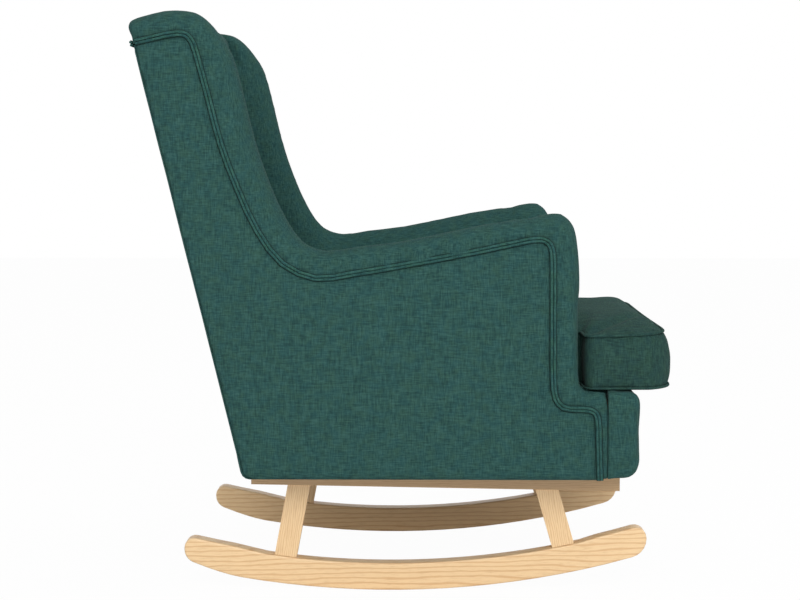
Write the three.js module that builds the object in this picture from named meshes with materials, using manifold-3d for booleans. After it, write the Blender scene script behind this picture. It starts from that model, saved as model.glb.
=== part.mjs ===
// Wingback rocking chair: an upholstered wooden frame on two curved rockers, with a loose T-shaped
// seat cushion. Millimetres, +Z up, front towards -Y, so the sitter's right side is at -X.
// Outlines are drawn from the side in (u, z): u runs forward, z up. A point (u, z) at the
// half-width w of the right side lies at (-w, -u, z).

import * as THREE from 'three';
import { mergeVertices } from 'three/addons/utils/BufferGeometryUtils.js';
import Module from 'manifold-3d';

const wasm = await Module();
wasm.setup();

// Overall sizes of the upholstered body
const HEIGHT = 1000;
const BODY_WIDTH = 660;
const ARM_THICKNESS = 85;
const UNDERSIDE = 212.5;
const BACK_LEAN = THREE.MathUtils.degToRad(13.6);
const BACK_FOOT = -290.7;
const BACK_CORNER = 16;
const BACK_TURN_UNDER = 2;
const APRON_REACH = 378;
const APRON_DEPTH = 52.5;

// Sizes of the rolled edge of the wings and arms
const ROLL_DEPTH = 45;
const TOP_SEAM_DROP = 56.4;
const TOP_DEPTH = 161.6;
const SHOULDER_DROP = 74;
const ARM_RISE = 63.5;
const ARM_ROOT_DEPTH = 235.2;
const ARM_FRONT_HEIGHT = 662.5;
const ARM_CORNER = 82.5;
const STEP_DEPTH = 45;
const STEP_TURN = 50;
const ROLL_TACKING = 4;
const WELT_CORD = 5;

// Inside back, deck and loose cushion
const INSIDE_BACK_DEPTH = 193;
const DECK_FRONT_HEIGHT = 362.5;
const DECK_THICKNESS = 18;
const DECK_TILT = THREE.MathUtils.degToRad(2);
const CUSHION_BOXING = 93;
const CUSHION_CROWN = 26;
const CUSHION_SIDE_GAP = 7.5;
const CUSHION_EAR_INSET = 22;
const CUSHION_OVERHANG = 56.4;
const CUSHION_TOP_SETBACK = 10;
const CUSHION_EAR_GAP = 9.5;
const CUSHION_SIDE_BULGE = 3;
const CUSHION_FRONT_BULGE = 11.6;
const CUSHION_CORNER = 55;
const CUSHION_REAR_CORNER = 30;
const CUSHION_EAR_CORNER = 18;
const CUSHION_INNER_CORNER = 9;
const CUSHION_DRAW_IN = 4;
const CUSHION_SEAM_LIFT = 6;
const CUSHION_FLAT_BORDER = 25;
const CUSHION_WELT = 5.4;
const CUSHION_WELT_GAP = 1;
const CUSHION_WELT_SIDES = 6;

// Timber of the body's frame
const STILE_WIDTH = 44;
const POST_DEPTH = 38;
const BOTTOM_RAIL_HEIGHT = 46;
const FRONT_POST_DEPTH = 36;
const ARM_RAIL_DEPTH = 40;
const WING_BOARD_THICKNESS = 18;
const SEAT_RAIL_THICKNESS = 22;
const SIDE_RAIL_THICKNESS = 30;
const SIDE_RAIL_DROP = 40;
const SLAT_INSET = 140.7;
const SLAT_WIDTH = 60;
const SLAT_THICKNESS = 21;
const BACK_RAIL_HEIGHT = 60;
const BACK_RAIL_THICKNESS = 22;
const APRON_BOARD_THICKNESS = 12;
const APRON_CORNER = 15.8;
const APRON_FOOT_CORNER = 24;
const APRON_EDGE = 8.4;
const PANEL_THICKNESS = 3;
const DUST_COVER_THICKNESS = 1;
const STRAP_WIDTH = 60;
const STRAP_THICKNESS = 2;

// Zigzag springs under the deck
const SPRING_COUNT = 4;
const SPRING_WIRE = 4;
const SPRING_SWING = 24;
const SPRING_SIDES = 5;
const SPRING_PITCH = 30;
const SPRING_MARGIN = 35;

// Wooden base
const ROCKER_RADIUS = 1560;
const ROCKER_LOWEST = -45;
const ROCKER_REAR_REACH = 358;
const ROCKER_FRONT_REACH = 449;
const ROCKER_DEPTH = 48;
const ROCKER_REAR_RISE = 12;
const ROCKER_REAR_RUN = 95;
const ROCKER_REAR_SWELL = 5;
const ROCKER_FRONT_SWELL = 3;
const ROCKER_THICKNESS = 30;
const ROCKER_INSET = 88;
const ROCKER_TOP_FACETS = 28;
const ROCKER_TIP_STEPS = 5;
const ROCKER_FACET = 40;
const WOOD_EDGE = 3;
const LEG_WIDTH = 38.5;
const LEG_THICKNESS = 24;
const REAR_LEG_TOP_INSET = 83;
const REAR_LEG_FOOT_INSET = 59;
const FRONT_LEG_TOP_INSET = 126;
const FRONT_LEG_FOOT_INSET = 97;
const TENON_WIDTH = 22;
const TENON_THICKNESS = 10;
const TENON_LENGTH = 14;
const BASE_REAR_INSET = 5.7;
const BASE_FRONT_INSET = 22;
const BASE_RAIL_REAR_HEIGHT = 25.5;
const BASE_RAIL_FRONT_HEIGHT = 36;
const CROSS_RAIL_THICKNESS = 20;
const REAR_CROSS_RAIL_INSET = 33;
const FRONT_CROSS_RAIL_INSET = 3;
const BOLT_SHANK = 8;
const BOLT_HEAD = 16;
const BOLT_HEAD_HEIGHT = 5;
const BOLT_LAND = 14;
const BOLT_GRIP = 16;

// Clearances: between touching pieces, and round the cushion
const GAP = 0.4;
const CUSHION_GAP = 2;
const DECK_EAR_MARGIN = 9;
const OVERRUN = 10;

// Places that follow from the sizes above
const OUTSIDE = BODY_WIDTH / 2;
const ARM_INSIDE = OUTSIDE - ARM_THICKNESS;
const SEAM_REACH = APRON_REACH - APRON_DEPTH;
const ARM_REACH = SEAM_REACH - STEP_DEPTH;
const TOP_SEAM_HEIGHT = HEIGHT - TOP_SEAM_DROP;
const SHOULDER_HEIGHT = HEIGHT - SHOULDER_DROP;
const ARM_ROOT_HEIGHT = ARM_FRONT_HEIGHT - ARM_RISE;
const STEP_HEIGHT = DECK_FRONT_HEIGHT + GAP;
const CUSHION_HALF_WIDTH = ARM_INSIDE - CUSHION_SIDE_GAP;
const CUSHION_EAR_HALF_WIDTH = OUTSIDE - CUSHION_EAR_INSET;
const CUSHION_REACH = APRON_REACH + CUSHION_OVERHANG;
const CUSHION_EAR_BACK = ARM_REACH + CUSHION_EAR_GAP;
const ROCKER_OUTER_HALF_WIDTH = OUTSIDE - ROCKER_INSET;
const BASE_RAIL_REAR = BACK_FOOT + BASE_REAR_INSET;
const BASE_RAIL_FRONT = APRON_REACH - BASE_FRONT_INSET;
const REAR_LEG_FOOT = BASE_RAIL_REAR + REAR_LEG_FOOT_INSET;
const FRONT_LEG_FOOT = BASE_RAIL_FRONT - FRONT_LEG_FOOT_INSET;
const LEAN = Math.tan(BACK_LEAN);
const PANEL_INSIDE = OUTSIDE - PANEL_THICKNESS;
const STILE_OUTSIDE = PANEL_INSIDE - GAP;
const STILE_INSIDE = STILE_OUTSIDE - STILE_WIDTH;
const BODY_BOTTOM = UNDERSIDE + GAP;
const FRAME_BOTTOM = BODY_BOTTOM + DUST_COVER_THICKNESS + GAP;
const rearLine = (z) => BACK_FOOT - (z - UNDERSIDE) * LEAN;
const behindBack = (z, depth) => rearLine(z) + depth / Math.cos(BACK_LEAN);
const BACK_TURN_END = rearLine(BODY_BOTTOM) + BACK_TURN_UNDER
  + BACK_CORNER * Math.tan((Math.PI / 2 - BACK_LEAN) / 2);
const deckTop = (u) => DECK_FRONT_HEIGHT + (u - SEAM_REACH) * Math.tan(DECK_TILT);
const deckFoot = (depth) => {
  const slope = LEAN * Math.tan(DECK_TILT);
  return (behindBack(DECK_FRONT_HEIGHT, depth) + slope * SEAM_REACH) / (1 + slope);
};
const deckUnderside = (u) => deckTop(u) - DECK_THICKNESS;

// Materials
const material = (name, color, roughness, metalness = 0) =>
  new THREE.MeshStandardMaterial({ name, color, roughness, metalness });
const fabric = material('woven_fabric', 0x2f5750, 0.95);
const weltFabric = material('welt_fabric', 0x24463f, 0.95);
const lightWood = material('light_hardwood', 0xe3c393, 0.5);
const softwood = material('frame_softwood', 0xcbab78, 0.7);
const plywood = material('plywood', 0xb99a6b, 0.7);
const webbing = material('webbing', 0x3b3a36, 0.9);
const lining = material('black_lining', 0x1c1c1c, 0.95);
const springSteel = material('spring_steel', 0x8a8d90, 0.35, 1);
const boltSteel = material('bolt_steel', 0xa9abad, 0.3, 1);

// Outline helpers

// Replaces each corner [u, z, radius] that has a radius by an arc; the rest stay sharp points.
function rounded(corners, steps = 3) {
  const points = [];
  corners.forEach(([u, z, radius], i) => {
    const corner = new THREE.Vector2(u, z);
    if (!radius) {
      points.push(corner);
      return;
    }
    const before = corners[(i + corners.length - 1) % corners.length];
    const after = corners[(i + 1) % corners.length];
    const back = new THREE.Vector2(before[0], before[1]).sub(corner).normalize();
    const on = new THREE.Vector2(after[0], after[1]).sub(corner).normalize();
    const half = Math.acos(THREE.MathUtils.clamp(back.dot(on), -1, 1)) / 2;
    const reach = radius / Math.tan(half);
    const start = corner.clone().addScaledVector(back, reach);
    const inward = back.clone().add(on).normalize();
    const centre = corner.clone().addScaledVector(inward, radius / Math.sin(half));
    const turn = (Math.PI - 2 * half) * Math.sign(on.cross(back) || 1);
    for (let k = 0; k <= steps; k += 1) {
      points.push(start.clone().rotateAround(centre, (turn * k) / steps));
    }
  });
  return points;
}

// A plate with a side outline in (u, z), between the x places from and to, its edges rounded by edge.
function plate(points, from, to, edge = 0, edgeSteps = 1) {
  const shape = new THREE.Shape(points.map((p) => new THREE.Vector2(p.x, p.y)));
  const geometry = new THREE.ExtrudeGeometry(shape, {
    depth: to - from - 2 * edge,
    bevelEnabled: edge > 0,
    bevelThickness: edge,
    bevelSize: edge,
    bevelOffset: -edge,
    bevelSegments: edgeSteps,
    steps: 1,
  });
  const axes = new THREE.Matrix4().makeBasis(
    new THREE.Vector3(0, -1, 0), new THREE.Vector3(0, 0, 1), new THREE.Vector3(-1, 0, 0));
  geometry.applyMatrix4(axes.setPosition(to - edge, 0, 0));
  return geometry;
}

// The same plate given by half-widths, on the right (-1) or the left (1) side.
function sidePlate(side, points, inner, outer, edge = 0, edgeSteps = 1) {
  return side < 0
    ? plate(points, -outer, -inner, edge, edgeSteps)
    : plate(points, inner, outer, edge, edgeSteps);
}

// A rectangular bar between two (u, z) corners.
const rectangle = (u0, z0, u1, z1) => rounded([[u0, z0], [u1, z0], [u1, z1], [u0, z1]]);

// Joins rings of equally many points into one closed body; the end rings are filled, or the
// last ring meets the first. Where the result is inside out, its faces are turned round.
function loft(rings, { ring = false } = {}) {
  const count = rings[0].length;
  const positions = rings.flat().flatMap((p) => [p.x, p.y, p.z]);
  const faces = [];
  const spans = ring ? rings.length : rings.length - 1;
  for (let i = 0; i < spans; i += 1) {
    for (let j = 0; j < count; j += 1) {
      const a = i * count + j;
      const b = i * count + ((j + 1) % count);
      const c = ((i + 1) % rings.length) * count + j;
      const d = ((i + 1) % rings.length) * count + ((j + 1) % count);
      faces.push(a, b, d, a, d, c);
    }
  }
  if (!ring) {
    fillRing(rings[0], 0, false, faces);
    fillRing(rings[rings.length - 1], (rings.length - 1) * count, true, faces);
  }
  return closedBody(positions, faces);
}

// Fills a nearly flat ring, seen along its own normal.
function fillRing(points, offset, forward, faces) {
  const normal = new THREE.Vector3();
  points.forEach((p, i) => {
    normal.add(new THREE.Vector3().crossVectors(p, points[(i + 1) % points.length]));
  });
  const turn = new THREE.Quaternion().setFromUnitVectors(
    normal.normalize(), new THREE.Vector3(0, 0, 1));
  const flat = points.map((p) => {
    const q = p.clone().applyQuaternion(turn);
    return new THREE.Vector2(q.x, q.y);
  });
  THREE.ShapeUtils.triangulateShape(flat, []).forEach(([a, b, c]) => {
    if (forward) faces.push(offset + a, offset + b, offset + c);
    else faces.push(offset + a, offset + c, offset + b);
  });
}

function closedBody(positions, faces) {
  const geometry = new THREE.BufferGeometry();
  geometry.setAttribute('position', new THREE.Float32BufferAttribute(positions, 3));
  geometry.setIndex(faces);
  if (signedVolume(geometry) < 0) turnRound(geometry);
  return geometry;
}

function signedVolume(geometry) {
  const p = geometry.getAttribute('position');
  const index = geometry.getIndex();
  const corner = (k) => new THREE.Vector3().fromBufferAttribute(p, index.getX(k));
  let volume = 0;
  for (let i = 0; i < index.count; i += 3) {
    volume += corner(i).dot(corner(i + 1).cross(corner(i + 2))) / 6;
  }
  return volume;
}

function turnRound(geometry) {
  const index = geometry.getIndex();
  for (let i = 0; i < index.count; i += 3) {
    const kept = index.getX(i);
    index.setX(i, index.getX(i + 1));
    index.setX(i + 1, kept);
  }
}

// The mirror image of a body across the middle plane x = 0.
function mirrored(geometry) {
  const copy = mergedVertices(geometry);
  copy.applyMatrix4(new THREE.Matrix4().makeScale(-1, 1, 1));
  turnRound(copy);
  return copy;
}

function mergedVertices(geometry) {
  const bare = geometry.clone();
  bare.deleteAttribute('normal');
  bare.deleteAttribute('uv');
  return mergeVertices(bare, 1e-4);
}

function solidOf(geometry) {
  const merged = mergedVertices(geometry);
  return new wasm.Manifold(new wasm.Mesh({
    numProp: 3,
    vertProperties: new Float32Array(merged.getAttribute('position').array),
    triVerts: new Uint32Array(merged.getIndex().array),
  }));
}

function fromSolid(solid) {
  const mesh = solid.getMesh();
  const geometry = new THREE.BufferGeometry();
  geometry.setAttribute('position', new THREE.Float32BufferAttribute(mesh.vertProperties, 3));
  geometry.setIndex(Array.from(mesh.triVerts));
  return geometry;
}

// Cuts each tool out of the body.
const cut = (body, tools) => fromSolid(
  tools.reduce((rest, tool) => rest.subtract(solidOf(tool)), solidOf(body)));

// Joins the parts to the body.
const join = (body, parts) => fromSolid(
  parts.reduce((sum, part) => sum.add(solidOf(part)), solidOf(body)));

// A slanted bar in the side view, from a low to a high (u, z) point.
function slantedBar(low, high, width, x0, x1) {
  const along = high.clone().sub(low).normalize();
  const across = new THREE.Vector2(along.y, -along.x).multiplyScalar(width / 2);
  return plate([low.clone().sub(across), low.clone().add(across),
    high.clone().add(across), high.clone().sub(across)], x0, x1);
}

// A round pin along z, from z0 to z1.
function pin(x, y, z0, z1, diameter, sides = 14) {
  const geometry = new THREE.CylinderGeometry(diameter / 2, diameter / 2, z1 - z0, sides);
  geometry.rotateX(Math.PI / 2);
  geometry.translate(x, y, (z0 + z1) / 2);
  return geometry;
}

// The rolled edge. Each row is one station: where the crest of the roll lies, as shares of its
// stretch, and how far the welt line lies inside it, as shares of the stretch's own inset. The
// last share is the girth: 1 is the full thickness of the arm.
const top_shares = [
  [-0.004, 0.078, -0.018, 0.078, 1], [-0.033, 0.397, -0.195, 0.381, 1],
  [-0.009, 0.61, -0.248, 0.567, 1], [0.127, 0.77, -0.124, 0.673, 1],
  [0.307, 0.947, -0.053, 0.744, 1], [0.474, 1, 0.009, 0.736, 1],
  [0.629, 0.929, 0.209, 0.709, 1], [0.759, 0.663, 0.448, 0.576, 1],
  [0.882, 0.238, 0.713, 0.328, 1],
];
const wing_shares = [
  [0, 1, 1.153, 0.28, 1], [0.102, 0.82, 1.156, 0.311, 1], [0.226, 0.575, 1.144, 0.244, 1],
  [0.382, 0.349, 1.078, 0.244, 1], [0.561, 0.156, 0.978, 0.4, 1],
  [0.752, 0.037, 0.733, 0.733, 1], [1, 0, 0.356, 1.011, 1],
];
const arm_shares = [
  [0.114, 0.126, 0.111, 1.022, 1], [0.296, 0.3, 0, 0.956, 1], [0.596, 0.724, 0, 1.016, 1],
  [0.796, 0.913, 0.289, 0.933, 1], [0.878, 1, 0.533, 0.976, 1],
  [0.929, 0.97, 0.733, 0.978, 1], [0.962, 0.724, 0.86, 0.8, 1],
  [0.979, 0.394, 0.938, 0.622, 1],
];
const front_shares = [
  [-0.09, 1, 1.02, 0.267, 1], [-0.027, 0.737, 1.07, 0.11, 1],
  [0, 0.396, 1.087, 0.044, 1], [0, 0.147, 1.073, 0.156, 0.8],
];
const step_shares = [
  [0.078, 0.2, 1.056, 0.444, 0.353], [0.256, 0.044, 0.956, 0.622, 0.353],
  [0.5, 0, 0.689, 0.644, 0.353], [0.789, -0.033, 0.489, 0.644, 0.353],
  [0.956, -0.1, 0.433, 0.711, 0.353], [0.985, -0.378, 0.374, 0.733, 0.353],
];
const drop_shares = [[-0.015, 0.777, 0.345, 0.11, 0.353], [-0.015, 0, 0.285, 0, 0.353]];

// How much of the roll's inner half stays level, where it runs on into the roll across the back.
const level_shares = [1, 1, 1, 1, 1, 1, 0.9, 0.5, 0.15];

const SHOULDER_SHARE = 0.974;

function stations() {
  const topBack = [rearLine(TOP_SEAM_HEIGHT), TOP_SEAM_HEIGHT];
  const shoulder = [rearLine(SHOULDER_HEIGHT) + TOP_DEPTH * SHOULDER_SHARE, SHOULDER_HEIGHT];
  const root = [rearLine(ARM_ROOT_HEIGHT) + ARM_ROOT_DEPTH, ARM_ROOT_HEIGHT];
  const dropTop = STEP_HEIGHT - STEP_TURN;
  const frontCorner = ARM_FRONT_HEIGHT - ARM_CORNER - STEP_HEIGHT;
  const stretches = [
    [top_shares, topBack, [TOP_DEPTH, TOP_SEAM_DROP], TOP_SEAM_DROP],
    [wing_shares, [shoulder[0], root[1]], [root[0] - shoulder[0], shoulder[1] - root[1]]],
    [arm_shares, root, [ARM_REACH - root[0], ARM_RISE]],
    [front_shares, [ARM_REACH, STEP_HEIGHT], [ROLL_DEPTH, frontCorner]],
    [step_shares, [ARM_REACH, STEP_HEIGHT], [STEP_DEPTH, STEP_DEPTH]],
    [drop_shares, [SEAM_REACH, BODY_BOTTOM], [STEP_DEPTH, dropTop - UNDERSIDE]],
  ];
  return stretches.flatMap(([rows, start, size, reach = ROLL_DEPTH]) => rows.map((row) => {
    const [u, z, du, dz, girth] = row;
    const crest = new THREE.Vector2(start[0] + u * size[0], start[1] + z * size[1]);
    const inset = new THREE.Vector2(du, dz).multiplyScalar(reach);
    return { crest, welt: crest.clone().sub(inset), girth };
  }));
}

const STATIONS = stations();
const STATION_STEP = 0.5;

// The roll sampled along its length: crest, welt line, outward normal of the welt line, girth and
// level share at each sample.
function rollSamples() {
  const curve = (pick) => new THREE.CatmullRomCurve3(
    STATIONS.map((s) => new THREE.Vector3(pick(s).x, pick(s).y, 0)), false, 'centripetal');
  const crests = curve((s) => s.crest);
  const welts = curve((s) => s.welt);
  const last = STATIONS.length - 1;
  const count = Math.round(last / STATION_STEP);
  const samples = [];
  for (let i = 0; i <= count; i += 1) {
    const t = i / count;
    const place = t * last;
    const before = Math.min(Math.floor(place), last - 1);
    const along = welts.getTangent(t);
    const level = (k) => level_shares[k] ?? 0;
    samples.push({
      place,
      crest: flat(crests.getPoint(t)),
      welt: flat(welts.getPoint(t)),
      normal: new THREE.Vector2(-along.y, along.x).normalize(),
      girth: THREE.MathUtils.lerp(
        STATIONS[before].girth, STATIONS[before + 1].girth, place - before),
      level: THREE.MathUtils.lerp(level(before), level(before + 1), place - before),
    });
  }
  return samples;
}

const flat = (p) => new THREE.Vector2(p.x, p.y);
const SAMPLES = rollSamples();
const SHOULDER_STATION = top_shares.length;
const ROOT_STATION = SHOULDER_STATION + wing_shares.length - 1;
const ARM_TOP_STATION = ROOT_STATION + arm_shares.length;
const STEP_STATION = ARM_TOP_STATION + front_shares.length;

// The welt line moved inwards by a distance, between two stations.
const weltLine = (inset, from, to) => SAMPLES
  .filter((s) => s.place >= from && s.place <= to)
  .map((s) => s.welt.clone().addScaledVector(s.normal, -inset));

// One side's roll: half-round over the edge of the arm or wing, flat under it.
const ROLL_STEPS = 4;

function rollGeometry() {
  const rings = SAMPLES.map((s) => {
    const thickness = ARM_THICKNESS * s.girth;
    const rise = s.crest.clone().sub(s.welt);
    const ring = [];
    for (let k = 0; k <= 2 * ROLL_STEPS; k += 1) {
      const angle = (Math.PI * k) / (2 * ROLL_STEPS);
      const w = OUTSIDE - thickness / 2 + (thickness / 2) * Math.cos(angle);
      const level = k > ROLL_STEPS ? s.level : 0;
      const height = level + (1 - level) * Math.sin(angle);
      const p = s.welt.clone().addScaledVector(rise, height);
      ring.push(new THREE.Vector3(-w, -p.x, p.y));
    }
    const base = s.welt.clone().addScaledVector(s.normal, -ROLL_TACKING);
    ring.push(new THREE.Vector3(-(OUTSIDE - thickness), -base.x, base.y));
    ring.push(new THREE.Vector3(-OUTSIDE, -base.x, base.y));
    return ring;
  });
  return loft(rings);
}

// Section of a double welt: two cords side by side on a tape, in shares of one cord's diameter.
const welt_shares = [
  [-1, 0], [-0.85, 0.5], [-0.5, 0.68], [-0.15, 0.5], [0, 0.3],
  [0.15, 0.5], [0.5, 0.68], [0.85, 0.5], [1, 0],
];

function sideWeltGeometry() {
  const rings = SAMPLES.filter((s) => s.place >= 1).map((s) => welt_shares.map(([a, b]) => {
    const p = s.welt.clone().addScaledVector(s.normal, a * WELT_CORD);
    return new THREE.Vector3(-(OUTSIDE + GAP + b * WELT_CORD), -p.x, p.y);
  }));
  return loft(rings);
}

// Across the back the same welt runs straight, on the slope of the outside back.
function backWeltGeometry() {
  const up = new THREE.Vector2(-Math.sin(BACK_LEAN), Math.cos(BACK_LEAN));
  const out = new THREE.Vector2(-Math.cos(BACK_LEAN), -Math.sin(BACK_LEAN));
  const middle = new THREE.Vector2(rearLine(TOP_SEAM_HEIGHT), TOP_SEAM_HEIGHT);
  middle.addScaledVector(up, -ROLL_TACKING / 2);
  return plate(welt_shares.map(([a, b]) => middle.clone()
    .addScaledVector(up, a * WELT_CORD).addScaledVector(out, GAP + b * WELT_CORD)),
  -OUTSIDE - WELT_CORD / 2, OUTSIDE + WELT_CORD / 2);
}

// Outside panels
const POST_REAR = PANEL_THICKNESS + GAP;

function sidePanelOutline() {
  const edge = weltLine(ROLL_TACKING + GAP, 0, STATIONS.length);
  const front = edge[edge.length - 1];
  const rear = behindBack(FRAME_BOTTOM, POST_REAR);
  const topRear = behindBack(edge[0].y, POST_REAR);
  const start = edge.findIndex((p) => p.x > topRear + GAP && p.y >= edge[0].y);
  const [top, ...foot] = rounded([
    [topRear, edge[0].y], [front.x, BODY_BOTTOM], [BACK_TURN_END + GAP, BODY_BOTTOM],
    [BACK_TURN_END + GAP, FRAME_BOTTOM], [rear, FRAME_BOTTOM, BACK_CORNER - POST_REAR]]);
  return [top, ...edge.slice(start, -1), ...foot];
}

// The outside back's cloth and board, which turn under the frame at the foot.
function outsideBackOutline() {
  const lip = BODY_BOTTOM + DUST_COVER_THICKNESS;
  return rounded([
    [behindBack(BACK_TOP, 0), BACK_TOP], [rearLine(BODY_BOTTOM), BODY_BOTTOM, BACK_CORNER],
    [BACK_TURN_END, BODY_BOTTOM], [BACK_TURN_END, lip],
    [behindBack(lip, PANEL_THICKNESS), lip, BACK_CORNER - PANEL_THICKNESS],
    [behindBack(BACK_TOP, PANEL_THICKNESS), BACK_TOP]]);
}

const BACK_TOP = TOP_SEAM_HEIGHT - ROLL_TACKING - GAP;

const backBoard = (z0, z1, depth0, depth1) => [
  new THREE.Vector2(behindBack(z0, depth0), z0), new THREE.Vector2(behindBack(z0, depth1), z0),
  new THREE.Vector2(behindBack(z1, depth1), z1), new THREE.Vector2(behindBack(z1, depth0), z1)];

// Side frame
const POST_FRONT = POST_REAR + POST_DEPTH;
const STRAP_FRONT = POST_FRONT + GAP + STRAP_THICKNESS;
const SEAT_FRONT_RAIL_FRONT = SEAM_REACH - GAP;
const SEAT_FRONT_RAIL_REAR = SEAT_FRONT_RAIL_FRONT - SEAT_RAIL_THICKNESS;
const STEP_GIRTH = ARM_THICKNESS * step_shares[step_shares.length - 1][4];
const SEAT_FRONT_HALF_WIDTH = OUTSIDE - STEP_GIRTH - GAP;

const frontPostFront = Math.min(...weltLine(ROLL_TACKING + GAP, ARM_TOP_STATION, STEP_STATION - 1)
  .map((p) => p.x)) - GAP;
const frontPostRear = frontPostFront - FRONT_POST_DEPTH;
const DROP_STATION = STEP_STATION + step_shares.length - 1;
const bottomRailFront = Math.min(SEAT_FRONT_RAIL_REAR,
  ...weltLine(ROLL_TACKING + GAP, DROP_STATION, STATIONS.length).map((p) => p.x)) - GAP;

function armRailOutline() {
  const edge = weltLine(ROLL_TACKING + GAP, ROOT_STATION, ARM_TOP_STATION - 1);
  const front = edge[edge.length - 1];
  const rear = edge[0];
  return [...edge,
    new THREE.Vector2(front.x, ARM_UNDER_FRONT), new THREE.Vector2(rear.x, rear.y - ARM_RAIL_DEPTH)];
}

const armEdge = weltLine(ROLL_TACKING + GAP, ROOT_STATION, ARM_TOP_STATION - 1);
const ARM_UNDER_FRONT = Math.max(...armEdge.map((p) => p.y)) - ARM_RAIL_DEPTH;
const armUnder = (u) => THREE.MathUtils.mapLinear(u, armEdge[0].x, armEdge[armEdge.length - 1].x,
  armEdge[0].y - ARM_RAIL_DEPTH, ARM_UNDER_FRONT);

function frontPostOutline() {
  const foot = FRAME_BOTTOM + BOTTOM_RAIL_HEIGHT + GAP;
  return [new THREE.Vector2(frontPostRear, foot), new THREE.Vector2(frontPostFront, foot),
    new THREE.Vector2(frontPostFront, armUnder(frontPostFront) - GAP),
    new THREE.Vector2(frontPostRear, armUnder(frontPostRear) - GAP)];
}

function wingBoardOutline() {
  const edge = weltLine(ROLL_TACKING + GAP, SHOULDER_STATION - 3, ROOT_STATION)
    .filter((p) => p.x < armEdge[0].x - GAP);
  const low = armEdge[0].y - ARM_RAIL_DEPTH;
  const front = Math.min(edge[edge.length - 1].x, armEdge[0].x - GAP);
  return [new THREE.Vector2(behindBack(BACK_TOP, POST_FRONT) + GAP, BACK_TOP),
    ...edge.filter((p) => p.y < BACK_TOP),
    new THREE.Vector2(front, low),
    new THREE.Vector2(behindBack(low, POST_FRONT) + GAP, low)];
}

// Inside back with the roll across its top, as an outline in (u, z). Each row is the height, as a
// share from the deck to the top, and the depth in front of the outside back, as a share of the
// deepest part at the small of the back.
const inside_back_shares = [
  [0.966, 0.544], [0.931, 0.503], [0.847, 0.482], [0.77, 0.477], [0.617, 0.497],
  [0.464, 0.58], [0.387, 0.674], [0.311, 0.813], [0.234, 0.943], [0.173, 1], [0.081, 0.964],
  [0.005, 0.912],
];
const BACK_FACE_STEPS = 18;

function insideBackOutline() {
  const low = deckTop(rearLine(DECK_FRONT_HEIGHT) + INSIDE_BACK_DEPTH) + GAP;
  const face = inside_back_shares.map(([z, depth]) => {
    const height = low + z * (HEIGHT - low);
    return new THREE.Vector2(rearLine(height) + depth * INSIDE_BACK_DEPTH, height);
  });
  const roll = SAMPLES.filter((s) => s.place <= SHOULDER_STATION - 4).map((s) => s.crest);
  const front = new THREE.SplineCurve([roll[roll.length - 1], ...face]).getPoints(BACK_FACE_STEPS);
  const foot = front[front.length - 1];
  const rearFoot = deckFoot(STRAP_FRONT + GAP);
  const rearTop = BACK_TOP + GAP;
  return [...roll, ...front.slice(1, -1),
    new THREE.Vector2(foot.x, deckTop(foot.x) + GAP),
    new THREE.Vector2(rearFoot, deckTop(rearFoot) + GAP),
    new THREE.Vector2(behindBack(rearTop, STRAP_FRONT + GAP), rearTop),
    new THREE.Vector2(rearLine(rearTop) + GAP, rearTop)];
}

function insideArmOutline() {
  const edge = weltLine(ROLL_TACKING + GAP, SHOULDER_STATION - 3, STEP_STATION - 1)
    .filter((p) => p.y < BACK_TOP);
  const low = Math.max(SIDE_RAIL_TOP, FRAME_BOTTOM + SLAT_THICKNESS) + GAP;
  const rear = SEAT_REAR_RAIL_FRONT + GAP;
  const overRail = Math.max(railTop(SEAT_REAR_RAIL_REAR) + GAP, low);
  return [new THREE.Vector2(behindBack(BACK_TOP, STRAP_FRONT + GAP), BACK_TOP), ...edge,
    new THREE.Vector2(frontPostFront, low), new THREE.Vector2(rear, low),
    new THREE.Vector2(rear, overRail),
    new THREE.Vector2(behindBack(overRail, STRAP_FRONT + GAP), overRail)];
}

// Front apron: a padded front that wraps round its board, open behind.
function apronGeometry() {
  const top = deckTop(SEAM_REACH);
  const outline = rounded([
    [SEAM_REACH + GAP, BODY_BOTTOM], [APRON_REACH, BODY_BOTTOM, APRON_FOOT_CORNER],
    [APRON_REACH, deckTop(APRON_REACH), APRON_CORNER], [SEAM_REACH + GAP, top],
  ], 4);
  const body = plate(outline, -OUTSIDE, OUTSIDE, APRON_EDGE, 2);
  const board = apronBoardBox();
  const room = plate(rectangle(SEAM_REACH - OVERRUN, UNDERSIDE - OVERRUN,
    board.front + GAP, board.top + GAP), -board.half - GAP, board.half + GAP);
  return cut(body, [room]);
}

function apronBoardBox() {
  return {
    rear: SEAM_REACH + GAP,
    front: SEAM_REACH + GAP + APRON_BOARD_THICKNESS,
    top: deckUnderside(SEAM_REACH) - GAP,
    half: OUTSIDE - APRON_CORNER,
  };
}

// Rocker: an arc of facets, one of them level at the lowest point, a little deeper towards its two
// tips. The running edge leaves the arc in a soft rise before the rear tip.
const REAR_SWELL_SHARE = 2.5;
const FRONT_SWELL_SHARE = 1.6;
const TIP_CLEAR_SHARE = 1.3;
const REAR_RISE_POWER = 1.4;

// Radii of a tip's lower and upper corner, as shares of the rocker's depth there.
const rear_tip_shares = [0.6, 0.42];
const front_tip_shares = [0.66, 0.38];

function rockerDepth(u) {
  const behind = THREE.MathUtils.smoothstep(
    -u, LEG_WIDTH / 2 - REAR_LEG_FOOT, REAR_SWELL_SHARE * LEG_WIDTH - REAR_LEG_FOOT);
  const ahead = THREE.MathUtils.smoothstep(
    u, FRONT_LEG_FOOT + LEG_WIDTH / 2, FRONT_LEG_FOOT + FRONT_SWELL_SHARE * LEG_WIDTH);
  return ROCKER_DEPTH + ROCKER_REAR_SWELL * behind + ROCKER_FRONT_SWELL * ahead;
}

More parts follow.
